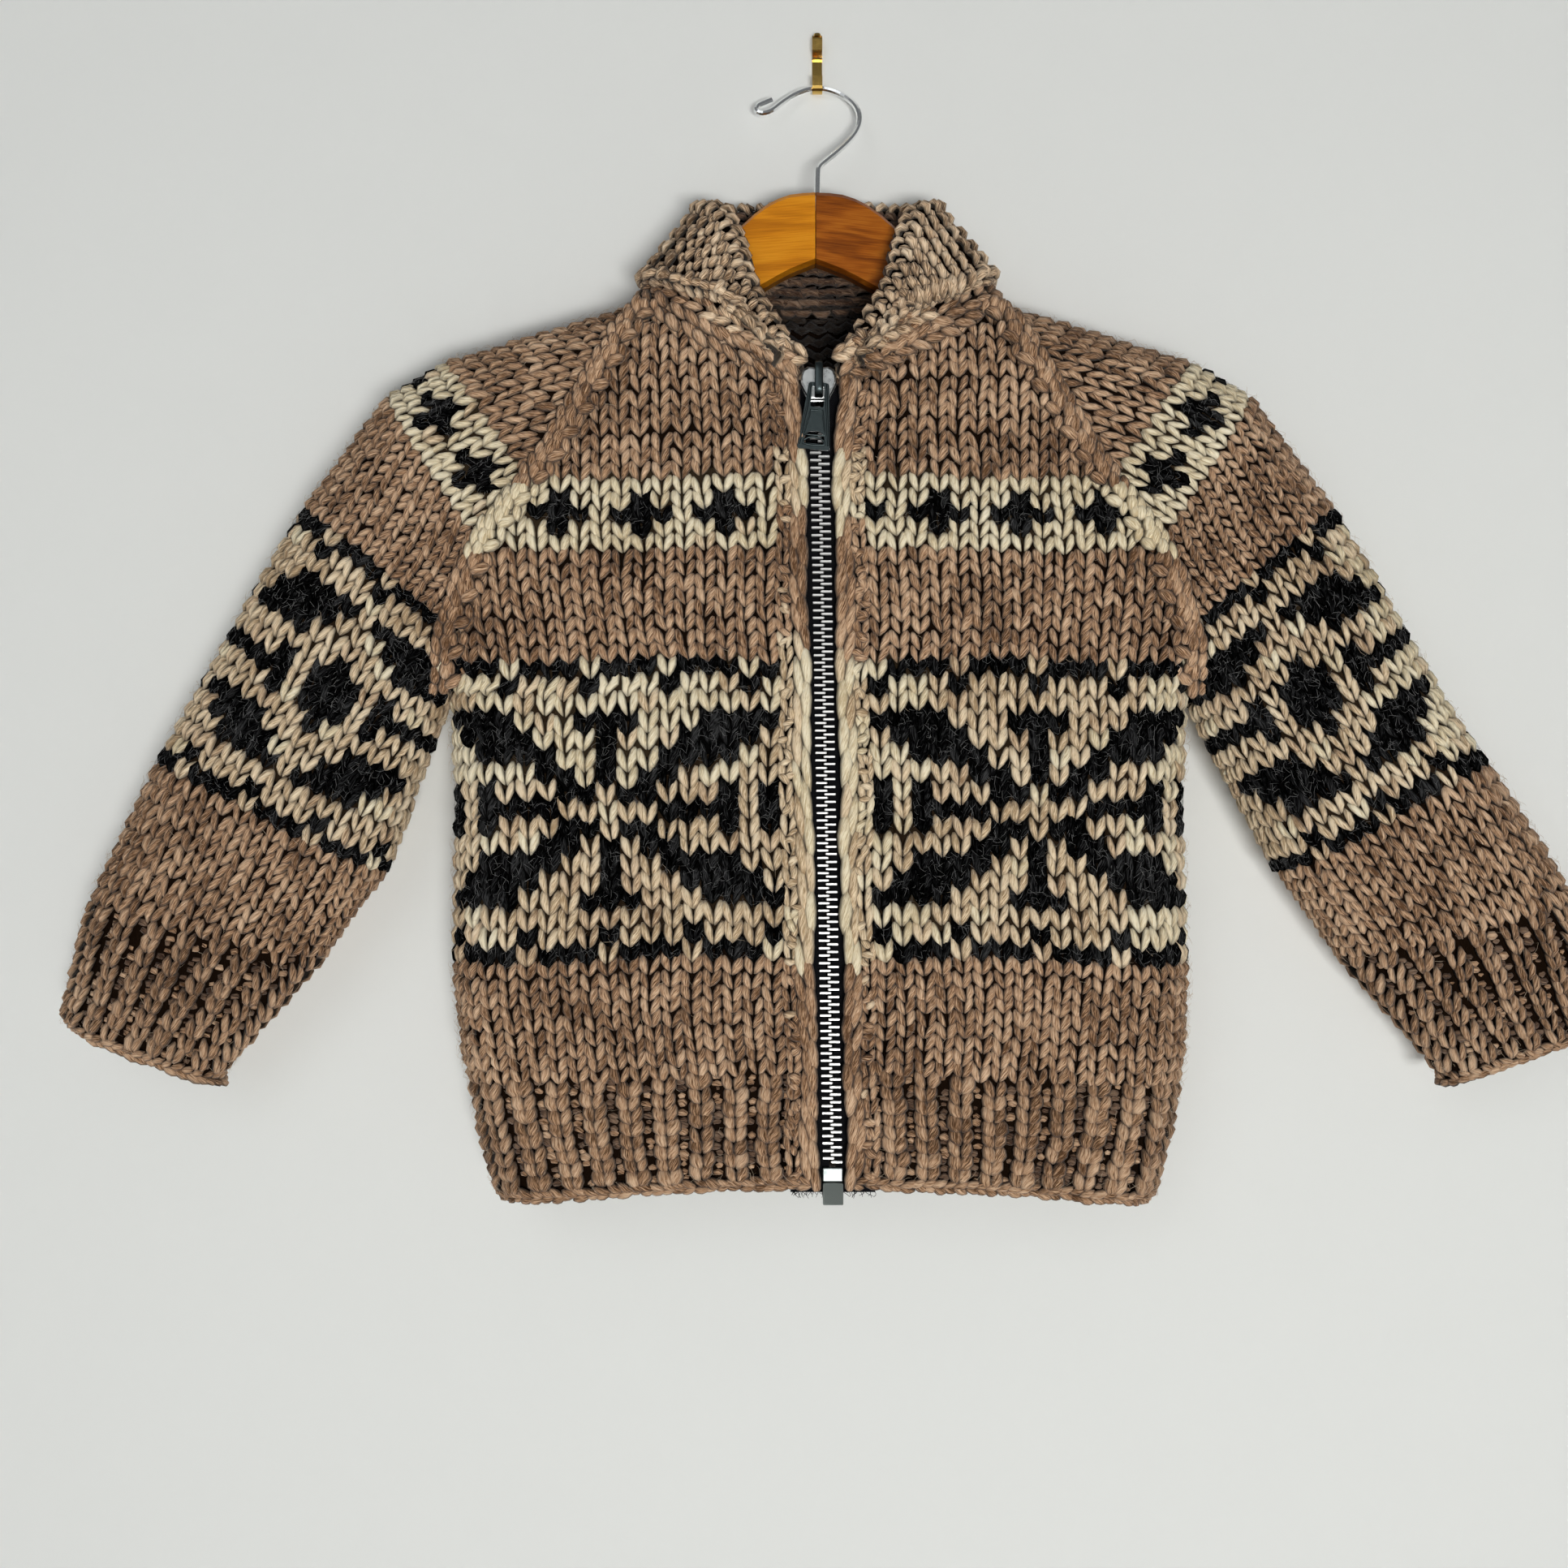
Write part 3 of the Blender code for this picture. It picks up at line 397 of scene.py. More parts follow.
def add_object(name, points, loops, starts, uvs, finishes, indices):
    """A smooth mesh from arrays: points in millimetres, faces as loops with starts, UV maps by name."""
    mesh = bpy.data.meshes.new(name)
    mesh.vertices.add(len(points))
    mesh.vertices.foreach_set("co", (np.asarray(points, float) * MM).ravel())
    mesh.loops.add(len(loops))
    mesh.loops.foreach_set("vertex_index", np.asarray(loops, np.int32))
    mesh.polygons.add(len(starts))
    mesh.polygons.foreach_set("loop_start", np.asarray(starts, np.int32))
    for map_name, values in uvs.items():
        layer = mesh.uv_layers.new(name=map_name)
        layer.data.foreach_set("uv", np.asarray(values, float).ravel())
    for finish in finishes:
        mesh.materials.append(finish)
    mesh.polygons.foreach_set("material_index", np.asarray(indices, np.int32))
    mesh.polygons.foreach_set("use_smooth", np.ones(len(starts), bool))
    mesh.update(calc_edges=True)
    mesh.validate()
    return link(name, mesh)


class Yarn:
    """Plump lengths of yarn gathered for one mesh. Each follows its own points and is thin at both ends."""

    def __init__(self, samples=7, sides=6):
        self.samples, self.sides = samples, sides
        self.share = (1 - np.cos(np.linspace(0, math.pi, samples))) / 2
        self.parts = []

    def add(self, centres, normals, widths, thicks, wools, blunt=0.55):
        """centres and normals are (pieces, samples, 3); widths, thicks and wools have one value a piece."""
        count = len(centres)
        if count:
            self.parts.append((
                centres,
                normals,
                np.broadcast_to(widths, count).astype(float),
                np.broadcast_to(thicks, count).astype(float),
                np.broadcast_to(wools, count).astype(int),
                np.full(count, blunt),
            ))

    def on_net(self, net, start, end, bow, outs, widths, thicks, wools, blunt=0.55, facing=None):
        """Lengths between (column, row) arrays, bent by bow and off the cloth by outs.

        bow is (columns, rows) and outs is (start, middle, end). facing is (columns, rows, share):
        at an edge the lengths face partly that way across the net.
        """
        t = self.share[None, :]
        across, along = end[0] - start[0], end[1] - start[1]
        swing = np.sin(math.pi * t)
        column = start[0][:, None] + across[:, None] * t + np.asarray(bow[0])[..., None] * swing
        row = start[1][:, None] + along[:, None] * t + np.asarray(bow[1])[..., None] * swing
        low, middle, high = [np.broadcast_to(value, len(start[0]))[:, None] for value in outs]
        out = low * (1 - t) + high * t + (middle - (low + high) / 2) * np.sin(math.pi * t)
        points, normals = net.at(column, row, out)
        if facing:
            way = points - net.at(column - facing[0], row - facing[1], out)[0]
            way /= np.maximum(np.linalg.norm(way, axis=-1), 1e-9)[..., None]
            normals = normals * (1 - facing[2]) + way * facing[2]
        self.add(points, normals, widths, thicks, wools, blunt)

    def laid(self, starts, ends, normals, lifts, widths, thicks, wools, blunt=0.55):
        """Straight lengths between points, each arching along its normal by its lift."""
        starts, ends, normals = np.array(starts, float), np.array(ends, float), np.array(normals, float)
        t = self.share[None, :, None]
        lifts = np.broadcast_to(lifts, len(starts))[:, None, None]
        arch = normals[:, None] * lifts * np.sin(math.pi * t)
        centres = starts[:, None] * (1 - t) + ends[:, None] * t + arch
        self.add(centres, np.repeat(normals[:, None], self.samples, axis=1), widths, thicks, wools, blunt)

    def build(self, name, finishes):
        gathered = [np.concatenate(column) for column in zip(*self.parts)]
        centres, normals, widths, thicks, wools, blunt = gathered
        count, samples, sides = len(centres), self.samples, self.sides
        tangent = np.gradient(centres, axis=1)
        tangent /= np.maximum(np.linalg.norm(tangent, axis=2), 1e-9)[..., None]
        side = np.cross(tangent, normals)
        side /= np.maximum(np.linalg.norm(side, axis=2), 1e-9)[..., None]
        up = np.cross(side, tangent)
        profile = np.sin(math.pi * self.share**1.12)[None, :] ** blunt[:, None]
        angles = 2 * math.pi * np.arange(sides) / sides
        inner = slice(1, samples - 1)
        across = np.cos(angles) * (widths[:, None] * profile[:, inner])[..., None]
        high = np.sin(angles) * (thicks[:, None] * profile[:, inner])[..., None]
        ring = (
            centres[:, inner, None, :]
            + side[:, inner, None, :] * across[..., None]
            + up[:, inner, None, :] * high[..., None]
        )
        rings = samples - 2
        ring = ring.reshape(count, rings * sides, 3)
        points = np.concatenate([centres[:, :1], ring, centres[:, -1:]], axis=1)
        each = rings * sides + 2
        s = np.arange(sides)
        after = (s + 1) % sides
        length = np.linalg.norm(np.diff(centres, axis=1), axis=2).sum(axis=1)
        around = 2 * math.pi * (widths + thicks) / 2
        loops, uv, sizes = [], [], []

        def fan(tip, base, at_tip, at_ring, flip):
            corners = np.stack([np.full(sides, tip), base + after, base + s], axis=1)
            u = np.stack([s + 0.5, s + 1.0, s + 0.0], axis=1) / sides
            v = np.stack([np.full(sides, at_tip), np.full(sides, at_ring), np.full(sides, at_ring)], axis=1)
            if flip:
                corners, u, v = corners[:, ::-1], u[:, ::-1], v[:, ::-1]
            loops.append(corners.ravel())
            uv.append(np.stack([u.ravel(), v.ravel()], axis=1))
            sizes.extend([3] * sides)

        fan(0, 1, self.share[0], self.share[1], False)
        for r in range(rings - 1):
            base = 1 + r * sides
            corners = np.stack([base + s, base + after, base + after + sides, base + s + sides], axis=1)
            u = np.stack([s + 0.0, s + 1.0, s + 1.0, s + 0.0], axis=1) / sides
            low, high = self.share[r + 1], self.share[r + 2]
            v = np.broadcast_to([low, low, high, high], (sides, 4))
            loops.append(corners.ravel())
            uv.append(np.stack([u.ravel(), v.ravel()], axis=1))
            sizes.extend([4] * sides)
        fan(each - 1, 1 + (rings - 1) * sides, self.share[-1], self.share[-2], True)
        loops, uv = np.concatenate(loops), np.concatenate(uv)
        all_loops = (np.arange(count) * each)[:, None] + loops[None, :]
        starts_one = np.concatenate([[0], np.cumsum(sizes)[:-1]])
        starts = (np.arange(count) * len(loops))[:, None] + starts_one[None, :]
        offset = dice.uniform(0, 900, (count, 2))
        fibre = uv[None, :, :] * np.stack([around, length], axis=1)[:, None, :] + offset[:, None, :]
        lot = np.repeat(dice.uniform(0, 1, (count, 1, 2)), len(loops), axis=1)
        # The relief map gives how far each point faces out of its length and where it lies along it; the
        # wool darkens the flanks from it as painted shade
        swell = np.sin(math.pi * uv[:, 1]) ** 0.7
        relief = np.stack([0.5 + 0.5 * np.sin(2 * math.pi * uv[:, 0]) * swell, uv[:, 1]], axis=1)
        relief = np.repeat(relief[None], count, axis=0)
        used, compact = np.unique(wools, return_inverse=True)
        return add_object(
            name,
            points.reshape(-1, 3),
            all_loops.ravel(),
            starts.ravel(),
            {"fibre": fibre.reshape(-1, 2), "lot": lot.reshape(-1, 2), "relief": relief.reshape(-1, 2)},
            [finishes[i] for i in used],
            np.repeat(compact.reshape(-1), len(sizes)),
        )


def shell(name, net, columns, rows, wools, trim, top=-2.4, bottom=-CLOTH):
    """Closed thin cloth under the stitches, over columns and rows of a net, a wool to each cell, in very
    dark copies of the wools as painted shade.
    """
    c, r = trim(*np.meshgrid(columns, rows))
    outer = net.at(c, r, np.full(c.shape, top))[0].reshape(-1, 3)
    inner = net.at(c, r, np.full(c.shape, bottom))[0].reshape(-1, 3)
    high, wide = c.shape
    count = high * wide
    index = np.arange(count).reshape(high, wide)
    corners = [index[:-1, :-1], index[:-1, 1:], index[1:, 1:], index[1:, :-1]]
    quads = np.stack(corners, axis=-1).reshape(-1, 4)
    rim = np.concatenate([index[0, :], index[1:, -1], index[-1, -2::-1], index[-2:0:-1, 0]])
    following = np.roll(rim, -1)
    sides = np.stack([following, rim, rim + count, following + count], axis=1)
    faces = np.concatenate([quads, quads[:, ::-1] + count, sides])
    cell = wools(c, r)
    cell = cell[:-1, :-1].reshape(-1)
    indices = np.concatenate([cell, cell, np.full(len(sides), cell[0])])
    used, compact = np.unique(indices, return_inverse=True)
    points = np.concatenate([outer, inner])
    both_sides = [np.concatenate([place.ravel()] * 2) for place in (c, r)]
    flat = np.stack(both_sides, axis=1)[faces.ravel()]
    first, second = points[faces[0, 2]] - points[faces[0, 0]], points[faces[0, 3]] - points[faces[0, 1]]
    out = net.at(c[:1, :1], r[:1, :1])[1].reshape(3)
    if np.cross(first, second) @ out < 0:
        faces = faces[:, ::-1]
        flat = flat.reshape(-1, 4, 2)[:, ::-1].reshape(-1, 2)
    # A relief of one half all over lets the wool darken the whole cloth by about half as painted shade as
    # well
    return add_object(
        name,
        points,
        faces.ravel(),
        np.arange(len(faces)) * 4,
        {"fibre": flat * 9.0, "lot": flat, "relief": np.full(flat.shape, 0.5)},
        [SHADED_UNDER[i] for i in used],
        compact.reshape(-1),
    )


# ---------------------------------------------------------------- wool and other finishes


def sockets(group, inputs, outputs):
    """Gives a node group its inputs, (name, kind, value), and its outputs, (name, kind)."""
    for label, kind, value in inputs:
        made = group.interface.new_socket(name=label, in_out="INPUT", socket_type=kind)
        made.default_value = value
    for label, kind in outputs:
        group.interface.new_socket(name=label, in_out="OUTPUT", socket_type=kind)


class Nodes:
    """Short way to place and wire the nodes of one tree."""

    def __init__(self, tree):
        self.tree = tree

    def add(self, kind, values=None, **settings):
        node = self.tree.nodes.new(kind)
        for key, value in settings.items():
            setattr(node, key, value)
        for key, value in (values or {}).items():
            if isinstance(value, bpy.types.NodeSocket):
                self.tree.links.new(value, node.inputs[key])
            else:
                node.inputs[key].default_value = value
        return node

    def group(self, name, values):
        """A group node, with its inputs set."""
        return self.add("ShaderNodeGroup", values, node_tree=bpy.data.node_groups[name])

    def relief(self, shader, height, strength, distance):
        """Bumps a material's surface by a height, with the distance in metres."""
        bump = self.add("ShaderNodeBump", {"Height": height, "Strength": strength, "Distance": distance})
        self.tree.links.new(bump.outputs[0], shader.inputs["Normal"])

    def math(self, operation, first, second=0.0):
        return self.add("ShaderNodeMath", {0: first, 1: second}, operation=operation).outputs[0]

    def mix(self, factor, first, second, blend="MIX"):
        node = self.add("ShaderNodeMix", data_type="RGBA", blend_type=blend)
        for key, value in ((0, factor), (6, first), (7, second)):
            if isinstance(value, bpy.types.NodeSocket):
                self.tree.links.new(value, node.inputs[key])
            else:
                node.inputs[key].default_value = value
        return node.outputs[2]


def spun_yarn_group():
    """Loosely spun wool: streaks along the yarn, a tone for each length, the heather of the fleece, and
    painted shade on the flanks of each length.
    """
    group = bpy.data.node_groups.new("spun_yarn", "ShaderNodeTree")
    sockets(
        group,
        [
            ("Dark", "NodeSocketColor", (0.1, 0.1, 0.1, 1)),
            ("Middle", "NodeSocketColor", (0.3, 0.3, 0.3, 1)),
            ("Light", "NodeSocketColor", (0.6, 0.6, 0.6, 1)),
            ("Lot Spread", "NodeSocketFloat", 0.25),
            ("Hairs", "NodeSocketFloat", 0.1),
            ("Painted Shade Floor", "NodeSocketFloat", 0.4),
        ],
        [("Color", "NodeSocketColor"), ("Height", "NodeSocketFloat")],
    )
    n = Nodes(group)
    given = n.add("NodeGroupInput")
    fibre = n.add("ShaderNodeUVMap", uv_map="fibre").outputs[0]
    lot = n.add("ShaderNodeSeparateXYZ", {0: n.add("ShaderNodeUVMap", uv_map="lot").outputs[0]})
    parts = n.add("ShaderNodeSeparateXYZ", {0: fibre})
    turned = n.math("ADD", parts.outputs[0], n.math("MULTIPLY", parts.outputs[1], 0.32))
    streaks = []
    for across, along, detail in ((1.25, 0.14, 2.0), (3.6, 0.34, 1.0)):
        u, v = n.math("MULTIPLY", turned, across), n.math("MULTIPLY", parts.outputs[1], along)
        place = n.add("ShaderNodeCombineXYZ", {0: u, 1: v}).outputs[0]
        noise = n.add("ShaderNodeTexNoise", {"Vector": place, "Scale": 1.0, "Detail": detail})
        streaks.append(noise.outputs[0])
    streak, fine = streaks
    place = n.add("ShaderNodeTexCoord").outputs["Object"]
    fleece = n.add("ShaderNodeTexNoise", {"Vector": place, "Scale": 26.0, "Detail": 2.0}).outputs[0]
    tone = n.math("ADD", n.math("MULTIPLY", streak, 0.95), n.math("MULTIPLY", fine, 0.65))
    lot_tone = n.math("MULTIPLY", n.math("SUBTRACT", lot.outputs[0], 0.5), given.outputs["Lot Spread"])
    tone = n.math("ADD", tone, lot_tone)
    tone = n.math("ADD", tone, n.math("MULTIPLY", n.math("SUBTRACT", fleece, 0.5), 0.38))
    dark = n.add("ShaderNodeMapRange", {0: tone, 1: 0.64, 2: 0.82}).outputs[0]
    light = n.add("ShaderNodeMapRange", {0: tone, 1: 0.82, 2: 1.04}).outputs[0]
    colour = n.mix(dark, given.outputs["Dark"], given.outputs["Middle"])
    colour = n.mix(light, colour, given.outputs["Light"])
    stray = n.add("ShaderNodeMapRange", {0: fine, 1: 0.60, 2: 0.70}).outputs[0]
    colour = n.mix(n.math("MULTIPLY", stray, given.outputs["Hairs"]), colour, given.outputs["Light"])
    # Painted shade: the flanks of each length, which sink between its neighbours, are darkened as if in
    # their shadow
    relief = n.add("ShaderNodeSeparateXYZ", {0: n.add("ShaderNodeUVMap", uv_map="relief").outputs[0]})
    sunk = n.add("ShaderNodeMapRange", {0: relief.outputs[0], 1: 0.42, 2: 0.86}).outputs[0]
    painted_shade_floor = given.outputs["Painted Shade Floor"]
    shade = n.math("ADD", n.math("MULTIPLY", sunk, n.math("SUBTRACT", 1.0, painted_shade_floor)), painted_shade_floor)
    green, blue = n.math("MULTIPLY", shade, 0.99), n.math("MULTIPLY", shade, 0.97)
    grey = n.add("ShaderNodeCombineColor", {0: shade, 1: green, 2: blue}).outputs[0]
    colour = n.mix(1.0, colour, grey, "MULTIPLY")
    height = n.math("ADD", n.math("MULTIPLY", streak, 0.6), n.math("MULTIPLY", fine, 0.4))
    n.add("NodeGroupOutput", {"Color": colour, "Height": height})
    return group


def principled(name, colour=None, roughness=0.5, metallic=0.0):
    """A new material with its nodes and its one shader."""
    made = bpy.data.materials.new(name)
    made.use_nodes = True
    shader = made.node_tree.nodes["Principled BSDF"]
    if colour is not None:
        shader.inputs["Base Color"].default_value = (*colour, 1.0)
    shader.inputs["Roughness"].default_value = roughness
    shader.inputs["Metallic"].default_value = metallic
    return made, Nodes(made.node_tree), shader


def wool(name, dark, middle, light, spread=0.25, hairs=0.15, painted_shade_floor=0.4, sheen=0.12, gloss=0.12):
    """A spun wool of three tones, with the share of tone that varies from length to length."""
    made, n, shader = principled(name, roughness=0.95)
    yarn = n.group("spun_yarn", {
        "Dark": (*dark, 1.0),
        "Middle": (*middle, 1.0),
        "Light": (*light, 1.0),
        "Lot Spread": spread,
        "Hairs": hairs,
        "Painted Shade Floor": painted_shade_floor,
    })
    n.tree.links.new(yarn.outputs["Color"], shader.inputs["Base Color"])
    n.relief(shader, yarn.outputs["Height"], 0.9, 0.0011)
    shader.inputs["Specular IOR Level"].default_value = gloss
    shader.inputs["Sheen Weight"].default_value = sheen
    shader.inputs["Sheen Roughness"].default_value = 0.6
    return made


spun_yarn_group()
FAWN, CREAM, PALE_OAT, OATMEAL, CHARCOAL, HAIR_GREY, HAIR_FAWN, STONE, RIB_FAWN, FAWN_IN_SHADE = range(10)
WOOLS = [
    # name, dark, middle, light, then lot spread, hairs and the floor of the painted shade on the flanks
    wool("wool_fawn", (0.105, 0.048, 0.019), (0.43, 0.255, 0.145), (0.72, 0.515, 0.35), 0.22, 0.35, 0.05),
    wool("wool_cream", (0.58, 0.46, 0.28), (0.84, 0.74, 0.53), (0.91, 0.84, 0.66), 0.14, 0.15, 0.14),
    wool("wool_pale_oat", (0.38, 0.26, 0.145), (0.76, 0.60, 0.405), (0.87, 0.745, 0.555), 0.20, 0.2, 0.13),
    wool("wool_oatmeal", (0.28, 0.18, 0.10), (0.66, 0.49, 0.32), (0.82, 0.665, 0.48), 0.22, 0.2, 0.13),
    wool(
        "wool_charcoal", (0.0006, 0.0006, 0.0006), (0.0022, 0.0023, 0.0026), (0.045, 0.046, 0.048),
        0.2, 0.5, 0.2, sheen=0.0, gloss=0.0,
    ),
    principled("hair_grey", (0.20, 0.20, 0.20), 0.7)[0],
    principled("hair_fawn", (0.52, 0.42, 0.31), 0.8)[0],
    wool("wool_stone", (0.15, 0.086, 0.044), (0.70, 0.49, 0.31), (0.93, 0.76, 0.56), 0.22, 0.35, 0.05),
    wool(
        "wool_rib_fawn", (0.085, 0.039, 0.015), (0.385, 0.226, 0.127), (0.63, 0.445, 0.30), 0.22, 0.35, 0.03
    ),
    # Painted shade: fawn darkened for lengths that lie sunk in the cloth or inside the neck
    wool(
        "wool_fawn_in_shade", (0.035, 0.016, 0.008), (0.135, 0.078, 0.048), (0.25, 0.17, 0.115), 0.22, 0.3, 0.08
    ),
]
# Painted shade: very dark copies of the wools for the cloth under the stitches, so the gaps between the
# stitches look shadowed
SHADED_UNDER = [
    wool(f"under_{label}", dark, middle, light, sheen=0.0, gloss=0.0)
    for label, dark, middle, light in (
        ("fawn", (0.005, 0.003, 0.0015), (0.009, 0.005, 0.003), (0.018, 0.010, 0.006)),
        ("cream", (0.020, 0.013, 0.007), (0.036, 0.024, 0.014), (0.06, 0.042, 0.025)),
        ("pale_oat", (0.015, 0.009, 0.005), (0.026, 0.016, 0.009), (0.045, 0.029, 0.017)),
        ("oatmeal", (0.012, 0.007, 0.004), (0.020, 0.012, 0.007), (0.035, 0.022, 0.013)),
        ("charcoal", (0.001, 0.001, 0.001), (0.0015, 0.0015, 0.002), (0.004, 0.004, 0.004)),
    )
]

# ---------------------------------------------------------------- charts

# Charcoal stitches of half a figure: the line counted from the top, then the distances from its middle
WING = {
    4: {0, 1, 5, 6, 7, 8},
    5: {0, 4, 5, 6, 7},
    6: {0, 3, 4, 5, 6},
    7: {0, 2, 3},
    8: {1, 2, 6, 8, 9},
    9: {3, 4, 5, 6, 8, 9},
}
RING = {
    4: {1, 2, 3, 4},
    5: {2, 3, 4, 5},
    6: {3, 4, 5, 6},
    7: {0},
    8: {0, 1, 3},
    9: {0, 1, 3, 4, 5, 6, 7},
}
MOTIF_ROWS, BAND_ROWS, REPEAT = 17, 5, 4
BODY_MOTIF_START, BODY_BAND_START = 17, 42
SLEEVE_MOTIF_START, SLEEVE_BAND_START = 18, 45
FRONT_CENTRE = 8
RING_COLUMN, RING_PERIOD = 8, 14


def motif_black(line, offset, top_beat, foot_beat, figure, folded):
    """Whether a stitch of the broad pattern is charcoal. line counts from 1 at the top to 17."""
    if line in (1, 2):
        on_beat = (offset - top_beat) % REPEAT == 0
        return on_beat if line == 2 else not on_beat
    if line in (16, 17):
        on_beat = (offset - foot_beat) % REPEAT == 0
        return on_beat if line == 16 else not on_beat
    mirrored = min(line, 18 - line)
    return mirrored in figure and folded in figure[mirrored]


def diamond_black(line, offset):
    """Whether a stitch of the narrow band is charcoal. line counts from 1 at the top to 5."""
    beat = (offset + REPEAT // 2) % REPEAT - REPEAT // 2
    return (line in (2, 4) and beat == 0) or (line == 3 and abs(beat) <= 1)


def light_wool(sign, line, column):
    """The light wool changes along the garment as a new hank is joined in."""
    chance = dice.random()
    if sign < 0:
        if line <= 7:
            return CREAM if chance < 0.8 else PALE_OAT
        return PALE_OAT if chance < 0.8 else (OATMEAL if chance < 0.95 else CREAM)
    if column >= 13 or column <= 2:
        return CREAM if chance < 0.6 else PALE_OAT
    return PALE_OAT if chance < 0.72 else (OATMEAL if chance < 0.92 else CREAM)


def front_wool(sign, column, row):
    """Wool of a front's stitch: broad pattern, narrow band of diamonds, or plain."""
    if BODY_MOTIF_START <= row < BODY_MOTIF_START + MOTIF_ROWS:
        line = BODY_MOTIF_START + MOTIF_ROWS - row
        offset = sign * (column - FRONT_CENTRE)
        top_beat = 0 if sign > 0 else 3
        if motif_black(line, offset, top_beat, 0, WING, abs(offset)):
            return CHARCOAL
        return light_wool(sign, line, column)
    if BODY_BAND_START <= row < BODY_BAND_START + BAND_ROWS:
        line = BODY_BAND_START + BAND_ROWS - row
        first = 2 if sign < 0 else 3
        if sign > 0 and column <= 1:
            return CHARCOAL if (column == 0 and line == 3) else CREAM
        if column <= first + 2 * REPEAT + 1 and diamond_black(line, column - first):
            return CHARCOAL
        return CREAM if dice.random() < 0.96 else PALE_OAT
    return FAWN


def back_wool(column, row):
    """Wool of a stitch of the back, with two broad figures side by side."""
    if BODY_MOTIF_START <= row < BODY_MOTIF_START + MOTIF_ROWS:
        line = BODY_MOTIF_START + MOTIF_ROWS - row
        offset = column % BODY_COLUMNS - 9
        if motif_black(line, offset, 0, 0, WING, abs(offset)):
            return CHARCOAL
        return light_wool(-1 if column < BODY_COLUMNS else 1, line, abs(offset))
    if BODY_BAND_START <= row < BODY_BAND_START + BAND_ROWS:
        line = BODY_BAND_START + BAND_ROWS - row
        return CHARCOAL if diamond_black(line, column - 1) else CREAM
    return FAWN


def sleeve_wool(sign, column, row):
    """Columns are whole numbers: 0 and up on the front of the sleeve, -1 and down on its back."""
    if SLEEVE_MOTIF_START <= row < SLEEVE_MOTIF_START + MOTIF_ROWS:
        line = SLEEVE_MOTIF_START + MOTIF_ROWS - row
        offset = column - RING_COLUMN if column >= 0 else -column - 1 - RING_COLUMN
        folded = abs(offset) % RING_PERIOD
        folded = min(folded, RING_PERIOD - folded)
        if motif_black(line, offset, 0, 0 if sign > 0 else 3, RING, folded):
            return CHARCOAL
        chance = dice.random()
        if sign > 0 and offset < -4:
            return CREAM if chance < 0.6 else PALE_OAT
        return PALE_OAT if chance < 0.8 else (OATMEAL if chance < 0.92 else CREAM)
    if SLEEVE_BAND_START <= row < SLEEVE_BAND_START + BAND_ROWS:
        line = SLEEVE_BAND_START + BAND_ROWS - row
        around = column if column >= 0 else -column - 1
        if diamond_black(line, around):
            return CHARCOAL
        return CREAM if dice.random() < 0.96 else PALE_OAT
    return FAWN


# ---------------------------------------------------------------- knitting


def vees(yarn, net, middle, row, wools, stitch, foot=0.035, head=0.4, half=0.25, lift=0.0, size=1.0):
    """Vs of two plump legs at each (middle, row): the foot is in front, the head under the next V."""
    count = len(middle)
    middle, row = middle + dice.normal(0, 0.028, count), row + dice.normal(0, 0.06, count)
    lean = dice.normal(0, 0.035, count)
    for side in (-1, 1):
        shift = dice.normal(0, 0.032, (4, count))
        start = (middle + side * foot - lean + shift[0], row - 0.24 + shift[1])
        end = (middle + side * head + lean + shift[2], row + 1.28 + shift[3])
        plump = size * dice.normal(1, 0.10, count)
        low, high = -1.9 + dice.normal(0, 0.4, count), -0.4 + dice.normal(0, 0.4, count)
        outs = (low + lift, high + lift, -4.8 + lift)
        wide, thick = half * stitch * plump, 2.35 * plump
        yarn.on_net(net, start, end, (side * 0.06, 0.0), outs, wide, thick, wools, 0.66)


def knit(yarn, net, cells, wools, rib, stitch=BODY_STITCH):
    """Stocking stitch on each (column, row) cell above the ribbing."""
    cells = np.array(cells, float)
    plain = cells[:, 1] >= rib
    cells, wools = cells[plain], np.array(wools)[plain]
    row_shift = dice.normal(0, 0.04, 80)[cells[:, 1].astype(int)]
    vees(yarn, net, cells[:, 0] + 0.5, cells[:, 1] + row_shift, wools, stitch)


def ribbing(yarn, net, first, last, middle, rows, stitch=BODY_STITCH, period=1.76):
    """Knit 1, purl 1: tall ribs of Vs that spread as the panel widens, with sunk ladders between, partly in
    painted shade.
    """
    at_hem = float(np.interp(1.0, net.rows, net.ends))
    count = int(round((last - first) * at_hem / period))
    period = (last - first) / count
    centres = first + period * (np.arange(count) + 0.5)
    c, r = np.meshgrid(centres, np.arange(rows))
    c, r = c.ravel(), r.ravel() + np.repeat(dice.normal(0, 0.10, (1, count)), rows, axis=0).ravel()
    reach = np.interp(r, net.rows, net.ends)
    worn = np.where(r > rows - 1.5, 0.5, 0.0)
    size, broad = dice.normal(1.04, 0.05, len(c)), period * at_hem / 1.5
    along = middle + c * reach + dice.normal(0, 0.03, len(c))
    tone = np.full(len(c), RIB_FAWN)
    vees(yarn, net, along, r, tone, stitch, 0.07, 0.36 * broad, 0.30 * broad, 1.4 - worn, size)
    for level, out in ((0.10, -3.0), (0.62, -3.6)):
        kept = dice.random(len(c)) < 0.85
        g, h = middle + (c[kept] - period / 2) * reach[kept], r[kept]
        jitter = dice.normal(0, 0.09, (4, len(g)))
        plump = 2.3 * dice.normal(1, 0.14, len(g))
        start = (g - 0.30 + jitter[0], h + level + jitter[1])
        end = (g + 0.30 + jitter[2], h + level + 0.1 + jitter[3])
        # Painted shade: over half of the ladder lengths take the darkened fawn
        tone = np.where(dice.random(len(g)) < 0.45, RIB_FAWN, FAWN_IN_SHADE)
        yarn.on_net(net, start, end, (0.0, 0.2), (-4.2, out, -4.2), plump, plump, tone)


